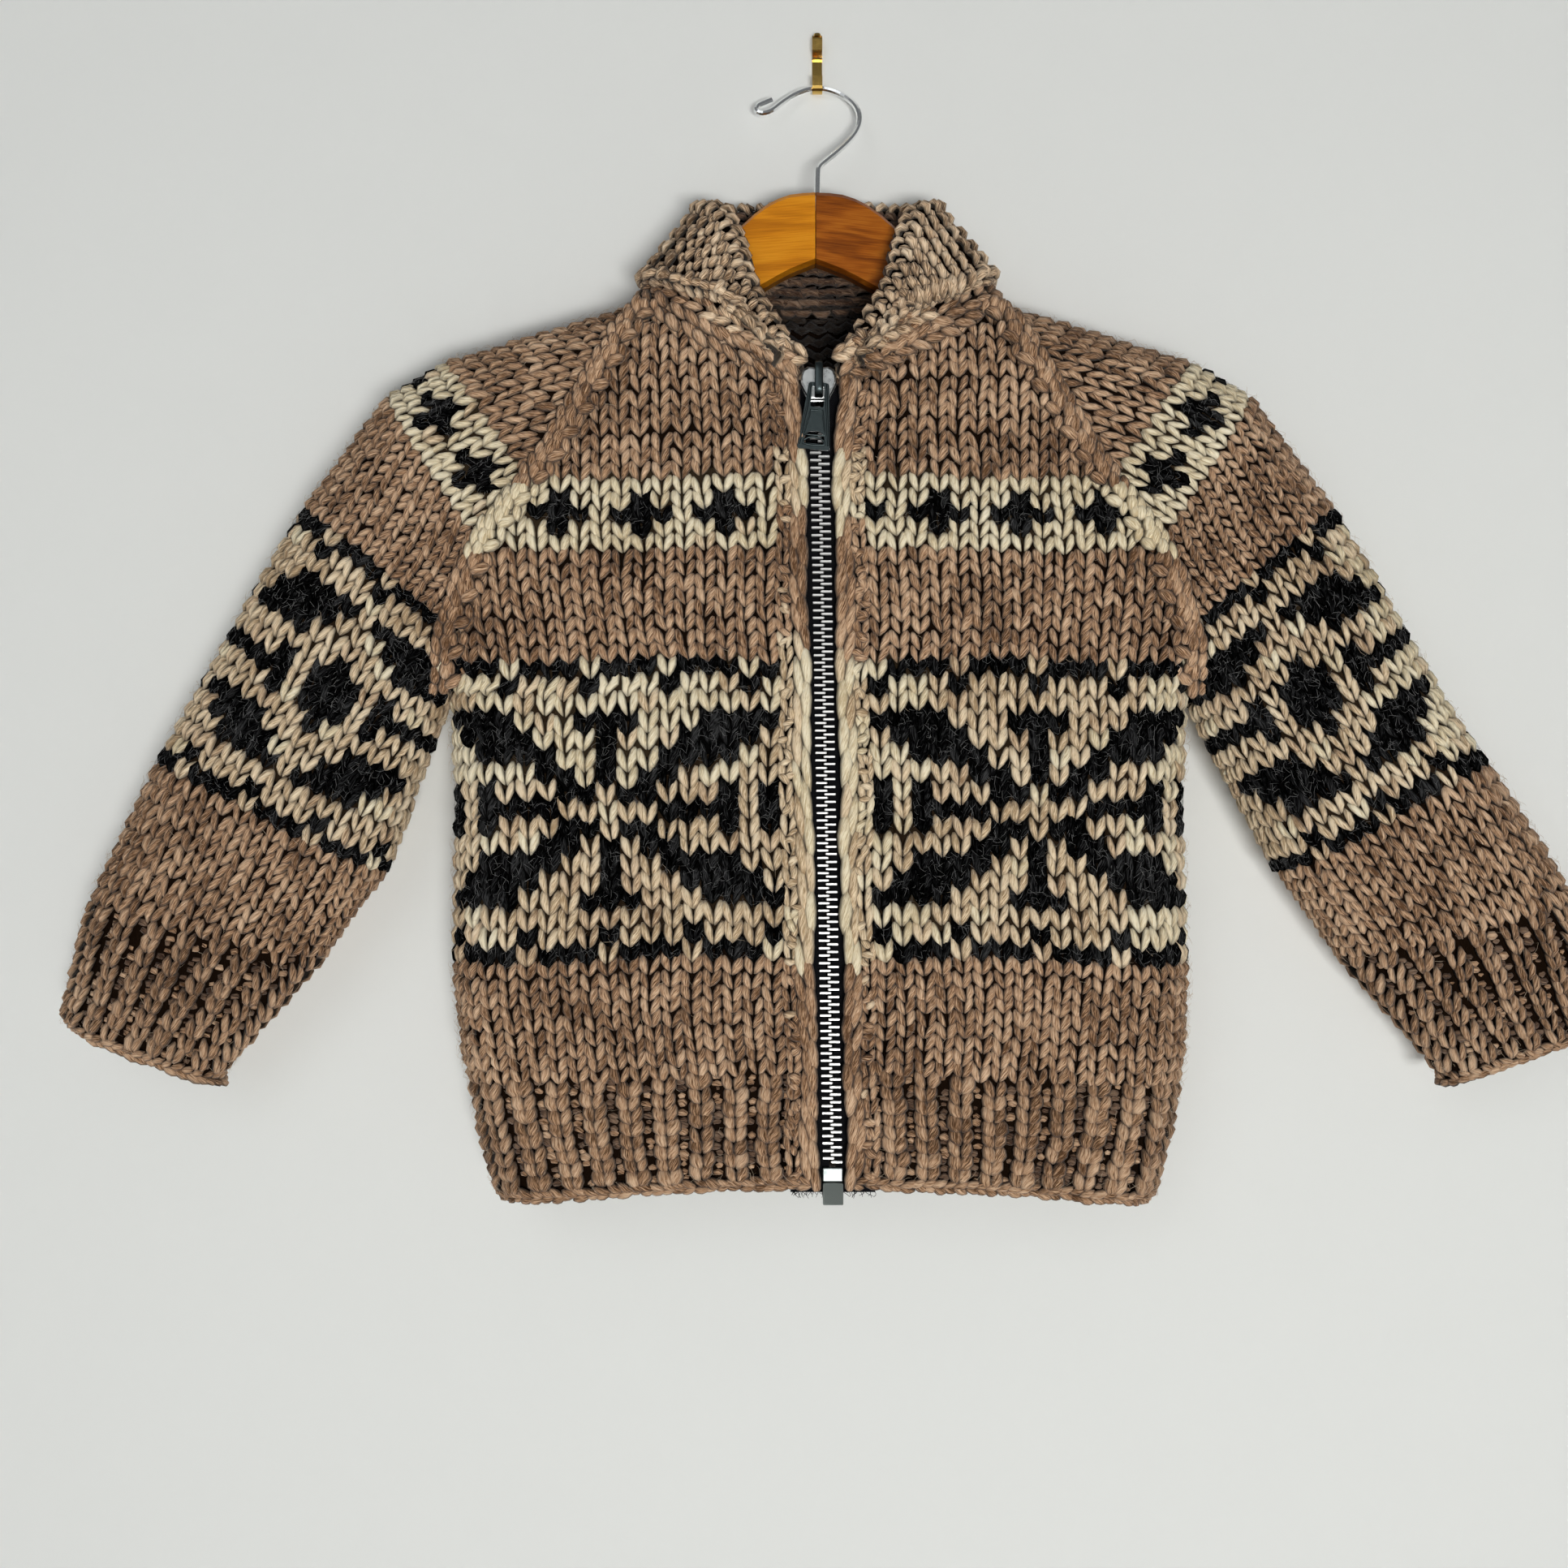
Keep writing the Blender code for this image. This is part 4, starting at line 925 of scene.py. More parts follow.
def cord_edge(yarn, net, first, last):
    """Cast-on edge: slanted lengths that lie along the foot of a panel, in two rows."""
    columns = np.arange(first, last, 0.62)
    for level, slant, lift in ((0.05, 0.30, 0.8), (-0.42, -0.18, -1.0)):
        jitter = dice.normal(0, 0.09, (4, len(columns)))
        start = (columns - 0.22 + jitter[0], HEM_ROW + level - slant + jitter[2])
        end = (columns + 0.80 + jitter[3], HEM_ROW + level + slant + jitter[1])
        size = 2.35 * dice.normal(1, 0.1, len(columns))
        tone = np.full(len(columns), RIB_FAWN)
        yarn.on_net(net, start, end, (0.0, 0.0), (-2.6, lift - 1.0, -2.6), size, size, tone, 0.7)


def neck_line(x):
    """Height of the front neck seam at this distance from the middle."""
    share = np.clip((np.abs(x) - NECK_FLAT) / (NECK_HALF - NECK_FLAT), 0.0, 1.0)
    return ZIP_TOP_Z + (RAGLAN[0][1] - ZIP_TOP_Z) * share - 1.5 * np.sin(math.pi * share)


def chart_reader(chart):
    """Reads a chart of {(column, row): wool} over arrays of places."""

    def read_chart(c, r):
        cells = zip(np.floor(c + 0.01).astype(int).ravel(), np.floor(r + 0.01).astype(int).ravel())
        return np.array([chart.get(cell, FAWN) for cell in cells]).reshape(c.shape)

    return read_chart


def front_cells(net, sign):
    """Stitch places of a front below its neck and within its side, and the wool of each."""
    cells, wools = [], []
    for row in range(BODY_TOP_ROW):
        end = float(np.interp(row + 0.5, net.rows, net.ends))
        for column in range(BODY_COLUMNS):
            if column + 0.25 > end:
                continue
            place = net.at(np.array([column + 0.5]), np.array([row + 0.6]))[0][0]
            if place[2] > neck_line(place[0]) + 3.5:
                continue
            cells.append((column, row))
            wools.append(front_wool(sign, column, row))
    return cells, wools


def zip_edge(yarn, net, sign):
    """Edge beside the zip: long slanted strands, then a lumpy column where they were picked up."""
    top = neck_line(np.array([edge_x(ZIP_TOP_Z, sign)]))[0] + 1
    band_foot, motif_head = (-263.0, -330.0) if sign < 0 else (-275.0, -342.0)

    def tones(rows, plain, light):
        z = read(BODY_ROWS, rows)
        pale = ((z > band_foot) & (z < -236.0)) | ((z > -500.0) & (z < motif_head))
        return np.where(pale, light, plain)

    rows = np.arange(0, BODY_TOP_ROW, 1.0)
    rows = rows[read(BODY_ROWS, rows) < top]
    count = len(rows)
    chance = dice.random(count)
    tone = tones(rows, FAWN, np.where(chance < 0.75, PALE_OAT, CREAM))
    vees(yarn, net, np.full(count, -0.36), rows, tone, 10.0, 0.05, 0.30, 0.22, -0.6)
    for level in (0.0, 0.5):
        lumpy = dice.random(count) < 0.6
        total = int(lumpy.sum())
        angle = dice.uniform(-1.1, 1.3, total)
        centre = (-0.42 + dice.normal(0, 0.10, total), rows[lumpy] + level + dice.normal(0, 0.12, total))
        reach = dice.uniform(0.24, 0.36, total)
        step = (np.cos(angle) * reach, np.sin(angle) * reach * 1.35)
        size = 2.15 * dice.normal(1, 0.14, total)
        knot_tone = np.where((tone[lumpy] == FAWN) & (dice.random(total) < 0.12), OATMEAL, tone[lumpy])
        start, end = (centre[0] - step[0], centre[1] - step[1]), (centre[0] + step[0], centre[1] + step[1])
        bow = (dice.normal(0, 0.10, total), dice.normal(0, 0.10, total))
        yarn.on_net(net, start, end, bow, (-2.2, 1.2, -2.2), size, size, knot_tone, 0.5)
    for first, second, level, out, size in ((-1.54, -1.30, 0.0, 0.9, 3.3), (-1.20, -0.84, 1.1, 0.6, 3.0)):
        starts = np.arange(level - 1.5, rows[-1] + 0.3, 2.0)
        total = len(starts)
        jitter = dice.normal(0, 0.10, (4, total))
        start = (first + jitter[0] * 0.5, starts - 0.2 + jitter[1])
        end = (second + jitter[2] * 0.5, starts + 2.9 + jitter[3])
        plump = size * dice.normal(1, 0.08, total)
        light = np.where(dice.random(total) < (0.85 if first < -1.4 else 0.5), CREAM, PALE_OAT)
        strand_tone = tones(starts + 1.4, FAWN, light)
        yarn.on_net(net, start, end, (0.05, 0.0), (-2.4, out, -2.8), plump, plump, strand_tone, 0.55)


def trim_front(net):
    """Pulls a grid's columns in to the side or raglan seam and its rows down to the neck."""

    def trim(c, r):
        end = np.interp(r, net.rows, net.ends)
        c = np.where(c > 0, np.minimum(c, BODY_COLUMNS) / BODY_COLUMNS * np.minimum(end, BODY_COLUMNS), c)
        place = net.at(c, r)[0]
        over = place[..., 2] - neck_line(place[..., 0])
        return c, r - np.maximum(over, 0) / BODY_ROW

    return trim


def front(name, sign):
    """One front: its net, cloth, stitches and chart."""
    net = front_net(sign)
    cells, wools = front_cells(net, sign)
    yarn = Yarn()
    knit(yarn, net, cells, wools, BODY_RIB_ROWS)
    ribbing(yarn, net, 0.0, 1.0, 0.0, BODY_RIB_ROWS)
    cord_edge(yarn, net, -1.2, BODY_COLUMNS)
    zip_edge(yarn, net, sign)
    raglan_seam(yarn, sign, -1)
    stitches = yarn.build(f"{name}_stitches", WOOLS)
    chart = dict(zip(cells, wools))
    columns = np.concatenate([[-1.5, -0.75], np.arange(0, BODY_COLUMNS + 1)])
    base = shell(f"{name}_cloth", net, columns, CLOTH_ROWS, chart_reader(chart), trim_front(net))
    return net, base, stitches, chart


def back(name):
    """The back, with its reverse side inside the neck and both raglan ridges."""
    net = back_net()
    cells, wools = [], []
    for row in range(BODY_TOP_ROW):
        end = float(np.interp(row + 0.5, net.rows, net.ends))
        for column in range(2 * BODY_COLUMNS):
            off = abs(column + 0.5 - BODY_COLUMNS)
            if off + 0.12 > end:
                continue
            place = net.at(np.array([column + 0.5]), np.array([row + 0.6]))[0][0]
            if place[2] > BACK_NECK_Z - BACK_NECK_DROP * (place[0] / NECK_HALF) ** 2:
                continue
            cells.append((column, row))
            wools.append(back_wool(column, row))
    yarn = Yarn(samples=5, sides=5)
    knit(yarn, net, cells, wools, BODY_RIB_ROWS)
    ribbing(yarn, net, -1.0, 1.0, BODY_COLUMNS, BODY_RIB_ROWS)
    cord_edge(yarn, net, 0.0, 2 * BODY_COLUMNS)
    inner_bumps(yarn, net)
    for _, sign in SIDES:
        raglan_seam(yarn, sign, 1)
    stitches = yarn.build(f"{name}_stitches", WOOLS)
    chart = dict(zip(cells, wools))

    def trim(c, r):
        end = np.minimum(np.interp(r, net.rows, net.ends), BODY_COLUMNS)
        c = BODY_COLUMNS + (c - BODY_COLUMNS) / BODY_COLUMNS * end
        place = net.at(c, r)[0]
        drop = (BACK_NECK_DROP + 1.0) * (place[..., 0] / NECK_HALF) ** 2
        over = place[..., 2] - (BACK_NECK_Z + 1.0 - drop)
        return c, r - np.maximum(over, 0) / BODY_ROW

    columns = np.arange(0, 2 * BODY_COLUMNS + 1)
    base = shell(f"{name}_cloth", net, columns, CLOTH_ROWS, chart_reader(chart), trim)
    return net, base, stitches, chart


def sleeve(name, sign):
    """One sleeve, knitted as a tube."""
    net = sleeve_net(sign)
    cells, wools = [], []
    for row in range(SLEEVE_TOP_ROW):
        end = float(np.interp(row + 0.5, net.rows, net.ends))
        whole = int(end + 0.35)
        for column in range(-whole, whole):
            cells.append((column, row))
            wools.append(sleeve_wool(sign, column, row))
    yarn = Yarn(samples=6, sides=5)
    knit(yarn, net, cells, wools, SLEEVE_RIB_ROWS, SLEEVE_STITCH)
    end = float(np.interp(0.0, net.rows, net.ends))
    ribbing(yarn, net, -1.0, 1.0, 0.0, SLEEVE_RIB_ROWS, SLEEVE_STITCH, 1.32)
    cord_edge(yarn, net, -end, end)
    stitches = yarn.build(f"{name}_stitches", WOOLS)
    chart = dict(zip(cells, wools))

    def trim(c, r):
        return c / SLEEVE_CLOTH_COLUMNS * np.interp(r, net.rows, net.ends), r

    columns = np.arange(-SLEEVE_CLOTH_COLUMNS, SLEEVE_CLOTH_COLUMNS + 0.01, 1.0)
    base = shell(f"{name}_cloth", net, columns, SLEEVE_CLOTH_ROWS, chart_reader(chart), trim)
    return net, base, stitches, chart


# ---------------------------------------------------------------- seams


def raglan_seam(yarn, sign, face):
    """Thick knotted ridge where a sleeve meets a body panel, curled over towards the body."""
    table = np.array(RAGLAN)
    run = np.concatenate([[0.0], np.cumsum(np.linalg.norm(np.diff(table, axis=0), axis=1))])

    def point(distance):
        x, z = np.interp(distance, run, table[:, 0]), np.interp(distance, run, table[:, 1])
        depth = float(body_depth(np.array([x - 0.5]), z, face)[0])
        return np.array([sign * x, MID_Y + face * depth, z])

    starts, ends, normals, sizes, wools = [], [], [], [], []
    for k in range(int(run[-1] / RAGLAN_PITCH)):
        distance = (k + 0.5) * RAGLAN_PITCH
        here = point(distance)
        down = point(distance + 3) - point(max(distance - 3, 0.0))
        down = unit(down)
        outward = np.cross(down, np.array([0.0, 0.0, 1.0]))
        inward = np.array([-sign, 0.0, 0.25])
        out = np.cross(inward, down)
        out *= np.sign(out[1]) * face
        out = unit(out)
        beside_band = RAGLAN_BAND[0] < here[2] + 4.0 * (k % 2) < RAGLAN_BAND[1]
        wool_id = CREAM if beside_band else FAWN
        jitter = dice.normal(0, 0.7, (7, 3)) * np.array([1, 0.3, 1])
        plumb = np.array([0.0, 0.0, -1.0])
        lie = down * 0.35 + plumb * 0.65
        leaves = [
            # start, end, half thickness, lift; every other knot adds three that cross the seam
            (here - inward * 8.6 - lie * 6.4, here - inward * 7.6 + lie * 5.5, 3.0, 1.2),
            (here - inward * 3.4 - lie * 6.6, here - inward * 2.4 + lie * 5.6, 3.5, 2.8),
        ]
        if k % 2 == 0:
            leaves.append((here - inward * 2.6 + lie * 7.4, here + inward * 6.2 + lie * 4.4, 3.5, 3.2))
            leaves.append((here + inward * 7.0 + lie * 5.6, here + inward * 4.6 - lie * 3.4, 2.7, 2.0))
            leaves.append((here - inward * 0.6 - lie * 5.4, here + inward * 1.4 + lie * 3.4, 3.0, 3.0))
        for i, (first, second, size, lift) in enumerate(leaves):
            starts.append(first + jitter[i] + out * 2.7)
            ends.append(second + jitter[i + 2] + out * 2.7)
            normals.append(out * (lift / 2.4))
            sizes.append(size)
            wools.append(wool_id)
    scale = np.linalg.norm(normals, axis=1)
    unit_normals = np.array(normals) / scale[:, None]
    sizes = np.array(sizes)
    yarn.laid(np.array(starts), np.array(ends), unit_normals, scale * 2.4, sizes, sizes * 0.95, wools, 0.55)


def smooth(rows, steps):
    """Points on a smooth line through the rows, steps to a span."""
    rows = np.array(rows, float)
    before = np.concatenate([[2 * rows[0] - rows[1]], rows[:-1]])
    after = np.concatenate([rows[1:], [2 * rows[-1] - rows[-2]]])
    slopes = (after - before) / 2
    found = []
    for i in range(len(rows) - 1):
        t = np.linspace(0, 1, steps, endpoint=False)[:, None]
        a, b = rows[i], rows[i + 1]
        ends = a * (2 * t**3 - 3 * t**2 + 1) + b * (-2 * t**3 + 3 * t**2)
        found.append(ends + slopes[i] * (t**3 - 2 * t**2 + t) + slopes[i + 1] * (t**3 - t**2))
    return np.concatenate([*found, rows[-1:]])


RIDGE_PITCH, BUMP_WIDTH = 8.0, 9.4


def collar_line(steps):
    """Seam, fold and edge places round the whole collar, steps to a span."""
    mirrored = [np.array(row) * np.array([-1, 1, 1] * 3) for row in COLLAR]
    return smooth([*mirrored, *[np.array(row) for row in COLLAR[-2::-1]]], steps)


def collar_net():
    """Rows run along the collar from zip to zip; column 0 is the fold, and the fall lies above 0."""
    stations = collar_line(16)
    folds = stations[:, 3:6]
    run = np.concatenate([[0.0], np.cumsum(np.linalg.norm(np.diff(folds, axis=0), axis=1))])
    count = int(round(run[-1] / RIDGE_PITCH))
    rows = np.arange(0, count + 0.01, NET_STEP)
    columns = np.arange(-7.0, 7.01, NET_STEP)
    points, stands, falls = [], [], []
    for row in rows:
        at = np.array([np.interp(row / count * run[-1], run, stations[:, i]) for i in range(9)])
        seam, fold, edge = at[0:3], at[3:6], at[6:9]
        out = np.array([edge[0] - fold[0], edge[1] - fold[1], 0.0])
        out = unit(out)
        centre = fold - np.array([0.0, 0.0, COLLAR_ROLL])
        roll = COLLAR_ROLL + CLOTH / 2
        turn = np.radians(np.linspace(0, 180, 13))[:, None]
        arc = centre + roll * (-out * np.cos(turn) + np.array([0, 0, 1.0]) * np.sin(turn))
        lower = seam - out * CLOTH / 2
        stand = lower + (arc[0] - lower) * np.linspace(0, 1, 12, endpoint=False)[:, None]
        upper = edge + out * CLOTH / 2
        fall = arc[-1] + (upper - arc[-1]) * np.linspace(0, 1, 13)[1:, None]
        path = np.concatenate([stand, arc, fall])
        steps = np.linalg.norm(np.diff(path, axis=0), axis=1)
        middle = steps[:18].sum()
        points.append(walk(path, middle + columns * BUMP_WIDTH)[0])
        stands.append(-middle / BUMP_WIDTH)
        falls.append((steps.sum() - middle) / BUMP_WIDTH)
    net = Net(columns, rows, np.array(points), np.array([0.0, 0.0, 1.0]))
    net.stands, net.falls = np.array(stands), np.array(falls)
    return net


def neck_seam(yarn):
    """Lumpy join of collar and body, with the foot of the collar's stand above it."""
    line = collar_line(24)
    run = np.concatenate([[0.0], np.cumsum(np.linalg.norm(np.diff(line[:, :3], axis=0), axis=1))])

    def station(distance):
        at = np.array([np.interp(distance, run, line[:, i]) for i in range(9)]).T
        seam, fold, edge = at[:, 0:3], at[:, 3:6], at[:, 6:9]
        out = (edge - fold) * np.array([1.0, 1.0, 0.0])
        out = unit(out)
        # The join turns to face forward as it comes round to the front
        ahead = np.clip((-44.0 - seam[:, 1]) / 16.0, 0.0, 1.0)[:, None]
        facing = out * (1 - ahead) + np.array([0.0, -1.0, 0.12]) * ahead
        facing = unit(facing)
        return seam, fold, out, facing

    levels = (
        # height above the seam, distance out, length, half thickness, pitch, tilt
        (-4.5, 5.0, 6.2, 2.8, 8.2, 0.55),
        (1.5, 5.6, 6.8, 3.2, 9.6, 0.30),
        (7.0, 4.4, 5.6, 2.8, 8.4, -0.45),
        (12.5, 3.6, 5.2, 2.6, 8.4, 0.35),
        (-3.0, -0.8, 6.8, 3.4, 8.0, 0.25),
        (3.0, -1.6, 6.8, 3.4, 8.0, -0.25),
        (8.6, -2.4, 5.6, 3.0, 8.0, 0.30),
    )
    for height, distance_out, length, size, pitch, tilt in levels:
        along = np.arange(2.0, run[-1] - 2.0, pitch) + dice.uniform(0, 1)
        seam, fold, out, facing = station(along)
        ahead = station(along + 2.0)[0] - station(along - 2.0)[0]
        ahead = unit(ahead)
        rise_way = fold - seam
        reach = np.linalg.norm(rise_way, axis=1)[:, None]
        rise_way /= reach
        kept = (height < reach[:, 0] - 3.0) | (height < 0)
        centre = seam + rise_way * height + facing * distance_out + dice.normal(0, 0.5, seam.shape)
        lie = ahead + rise_way * (tilt + dice.normal(0, 0.12, (len(along), 1)))
        lie = unit(lie)
        sizes = size * dice.normal(1, 0.08, len(along))
        starts, ends, sizes = (centre - lie * length)[kept], (centre + lie * length)[kept], sizes[kept]
        yarn.laid(starts, ends, facing[kept], 1.4, sizes, sizes, np.full(int(kept.sum()), FAWN))


NECK_BRAID = (
    # height above the seam, tilt, half thickness, distance forward
    (3.0, 0.5, 3.0, 2.6),
    (8.4, -0.55, 3.1, 2.4),
    (13.0, 0.45, 2.7, 0.8),
)


def neck_braid(yarn):
    """Thick braid that closes the neck edge of each front, from the zip up under the collar."""
    for _, sign in SIDES:
        for height, tilt, size, forward in NECK_BRAID:
            x = np.arange(15.0, 66.0, 6.6) + dice.uniform(-1, 1)
            z = neck_line(x)
            along = np.stack([np.full(len(x), 5.0), np.zeros(len(x)), neck_line(x + 5.0) - z], axis=1)
            along = unit(along)
            up = np.stack([-along[:, 2], np.zeros(len(x)), along[:, 0]], axis=1)
            face = MID_Y - body_depth(x, float(z.mean()), -1)
            centre = np.stack([x, face - forward, z], axis=1) + up * height
            centre += dice.normal(0, 0.5, (len(x), 3))
            lie = along + up * tilt
            lie = unit(lie)
            mirror = np.array([sign, 1.0, 1.0])
            plump = size * dice.normal(1, 0.08, len(x))
            starts, ends = (centre - lie * 5.6) * mirror, (centre + lie * 5.6) * mirror
            forwards = np.tile([0.0, -1.0, 0.1], (len(x), 1))
            tone = np.full(len(x), STONE if height > 5 else FAWN)
            yarn.laid(starts, ends, forwards, 1.6, plump, plump, tone)


def collar(name):
    """Ridged collar: rows of wavy bumps run from the neck seam over the fold to the free edge."""
    net = collar_net()
    yarn = Yarn(samples=6)
    last = net.rows[-1]
    heads, tails = [], []
    for row in np.arange(0.5, last - 0.4, 1.0):
        low, high = np.interp(row, net.rows, net.stands), np.interp(row, net.rows, net.falls)
        offset = dice.uniform(-0.1, 0.1)
        for column in np.arange(math.floor(low) + offset, high, 1.0):
            if column < -1.6:
                continue
            if column + 0.9 < high + 0.35:
                heads.append((column, row))
            if column + 1.4 < high + 0.35:
                tails.append((column + 0.5, row))
    for cells, bow, level, span, outs, size in (
        (heads, -0.14, 0.22, 0.98, (-1.6, 1.3, -1.6), 2.5),
        (tails, 0.30, 0.46, 0.84, (-2.8, -0.9, -2.8), 1.9),
    ):
        cells = np.array(cells)
        jitter = dice.normal(0, 0.05, (4, len(cells)))
        start = (cells[:, 0] + 0.5 - span / 2 + jitter[0], cells[:, 1] + level + jitter[1])
        end = (cells[:, 0] + 0.5 + span / 2 + jitter[2], cells[:, 1] + level + jitter[3])
        plump = size * dice.normal(1, 0.08, len(cells))
        yarn.on_net(net, start, end, (0.0, bow), outs, plump, plump, np.full(len(cells), STONE), 0.42)
    # Inner face of the stand: sunk wavy ridges that run round the neck, in fawn darkened as painted shade
    for shift, bow, out in ((0.0, 0.34, 1.0), (0.5, -0.30, 0.4)):
        c, r = np.meshgrid(np.arange(-6.4, -1.0, 0.62), np.arange(0.4, last - 1.0, 1.0))
        c = c.ravel() + dice.normal(0, 0.05, c.size)
        r = r.ravel() + shift + dice.normal(0, 0.06, r.size)
        inside = c > np.interp(r, net.rows, net.stands) - 0.4
        c, r = c[inside], r[inside]
        end = (c + dice.normal(0, 0.05, len(c)), r + 1.1)
        tone = np.full(len(c), FAWN_IN_SHADE)
        yarn.on_net(net, (c, r - 0.12), end, (bow, 0.0), (-2.2, out, -2.2), 2.4, 2.4, tone, 0.6)
    # Free edge of the fall: fat slanted lengths that wrap over it
    for first, second, level, outs, size, share in (
        (-0.62, 0.12, 0.0, (-2.2, 0.5, -3.0), 2.9, 0.5),
        (-0.02, 0.10, 0.45, (-4.6, -3.2, -5.2), 2.7, 0.9),
    ):
        rows = np.arange(0.2 + level, last - 0.1, 0.86)
        edge = np.interp(rows, net.rows, net.falls)
        jitter = dice.normal(0, 0.07, (4, len(rows)))
        start = (edge + first + jitter[0], rows - 0.50 + jitter[1])
        end = (edge + second + jitter[2], rows + 0.62 + jitter[3])
        plump = size * dice.normal(1, 0.08, len(rows))
        tone = np.full(len(rows), STONE)
        yarn.on_net(net, start, end, (0.10, 0.0), outs, plump, plump, tone, 0.5, (0.3, 0.0, share))
    # Ends of the collar beside the zip
    for end_row, way in ((0.0, 1), (last, -1)):
        low, high = np.interp(end_row, net.rows, net.stands), np.interp(end_row, net.rows, net.falls)
        for pitch, inset, outs in (
            (0.62, 0.34, (-1.8, 0.9, -1.8)),
            (0.62, 0.02, (-4.6, -2.6, -4.6)),
            (0.8, 0.95, (-2.0, 0.4, -2.0)),
        ):
            columns = np.arange(low - 0.2, high, pitch)
            jitter = dice.normal(0, 0.06, (4, len(columns)))
            start = (columns - 0.2 + jitter[0], end_row + way * (inset - 0.28) + jitter[1])
            end = (columns + 0.72 + jitter[2], end_row + way * (inset + 0.26) + jitter[3])
            plump = 2.7 * dice.normal(1, 0.08, len(columns))
            tone = np.full(len(columns), STONE)
            facing = (0.0, -0.3 * way, 0.6)
            yarn.on_net(net, start, end, (0.0, 0.0), outs, plump, plump, tone, 0.5, facing)
    neck_seam(yarn)
    neck_braid(yarn)
    stitches = yarn.build(f"{name}_stitches", WOOLS)

    def trim(c, r):
        low, high = np.interp(r, net.rows, net.stands), np.interp(r, net.rows, net.falls)
        share = (c + 6.0) / 12.0
        # The end rows draw in under the stitches but stay a hair apart, so no face is flat
        drawn_in = np.clip(r, 0.4, last - 0.4) + (r - last / 2) * 1e-4
        return low + (high - 0.5 - low) * share, drawn_in

    columns, rows = np.arange(-6.0, 6.01, 0.5), np.arange(0.0, last + 0.01, 0.5)
    base = shell(f"{name}_cloth", net, columns, rows, chart_reader({}), trim, top=-2.0, bottom=-5.2)
    return net, base, stitches


def inner_bumps(yarn, net):
    """Reverse side of the back, which shows inside the neck: rows of small wavy bumps in fawn darkened as
    painted shade.
    """
    for level, bow, shift in ((0.0, 0.30, 0.0), (0.12, -0.26, 0.5)):
        c, r = np.meshgrid(np.arange(8.0, 28.0) + shift, np.arange(42.0, 59.5))
        c, r = c.ravel(), r.ravel()
        jitter = dice.normal(0, 0.06, (3, len(c)))
        start, end = (c + jitter[0], r + level + jitter[1]), (c + 1.0, r + level + jitter[2])
        yarn.on_net(net, start, end, (0.0, bow), (-6.0, -9.6, -6.0), 2.7, 2.7, np.full(len(c), FAWN_IN_SHADE))


def stray_hairs(name, nets):
    """Fine hairs that stand off the wool: grey over the charcoal, pale along every edge."""
    yarn = Yarn(samples=4, sides=3)
    for net, chart, folds in nets:
        dark = np.array([cell for cell, wool_id in chart.items() if wool_id == CHARCOAL], float)
        picked = np.repeat(dark, 9, axis=0)
        light = np.array([cell for cell, wool_id in chart.items() if wool_id != CHARCOAL], float)
        picked_light = light[dice.random(len(light)) < 0.35]
        edges = light[np.isin(np.round(light[:, 0]), folds)]
        lowest = light[light[:, 1] < 1]
        fringe = np.concatenate([np.repeat(edges, 4, axis=0), np.repeat(lowest, 3, axis=0)])
        for cells, wool_id, reach, standing in (
            (picked, HAIR_GREY, 0.34, 0.0),
            (picked_light, HAIR_FAWN, 0.45, 0.0),
            (fringe, HAIR_FAWN, 0.4, 2.6),
        ):
            count = len(cells)
            if not count:
                continue
            angle = dice.uniform(0, 2 * math.pi, count)
            length = dice.uniform(0.4, 1.0, count) * reach
            centre = cells + dice.uniform(0.0, 1.0, (count, 2))
            step = np.stack([np.cos(angle), np.sin(angle) * 1.3], axis=1) * length[:, None]
            bow = dice.normal(0, 0.22, (2, count))
            high = dice.uniform(0.8, 1.8, count) + standing * 0.5
            free = dice.uniform(0.2, 1.4, count) + standing * dice.uniform(0.2, 1.4, count)
            start, end, tone = (centre - step).T, (centre + step).T, np.full(count, wool_id)
            yarn.on_net(net, start, end, bow, (0.2, high, free), 0.085, 0.085, tone, 0.2)
    return yarn.build(name, WOOLS)


# ---------------------------------------------------------------- zip, hanger and hooks


TAPE_Y = -59.8
CHAIN_Y = -61.9
TEETH_TOP_Z, TEETH_END_Z = -209.5, -604.5
TOOTH_PITCH, TOOTH_LENGTH, TOOTH_OVERLAP = 3.9, 5.4, 0.9
PULL_PIN, PULL_LEAN = (-0.42, -201.2), math.radians(5.0)
PULL_RIM_Y, PULL_EDGE_Y = -70.35, -70.3


def loft(name, outline, layers, finish):
    """Closed body whose outline, (x, z) points, is drawn in by inset at each (y, inset) layer."""
    outline = np.array(outline, float)
    middle = outline.mean(axis=0)
    points = []
    for y, inset in layers:
        reach = outline - middle
        size = np.linalg.norm(reach, axis=1, keepdims=True)
        ring = middle + reach * (1 - inset / size)
        points += [(x, y, z) for x, z in ring]
    count = len(outline)
    faces = [tuple(range(count)), tuple(reversed(range(len(points) - count, len(points))))]
    for r in range(len(layers) - 1):
        for i in range(count):
            a, b = r * count + i, r * count + (i + 1) % count
            faces.append((b, a, a + count, b + count))
    return solid(name, points, faces, finish)


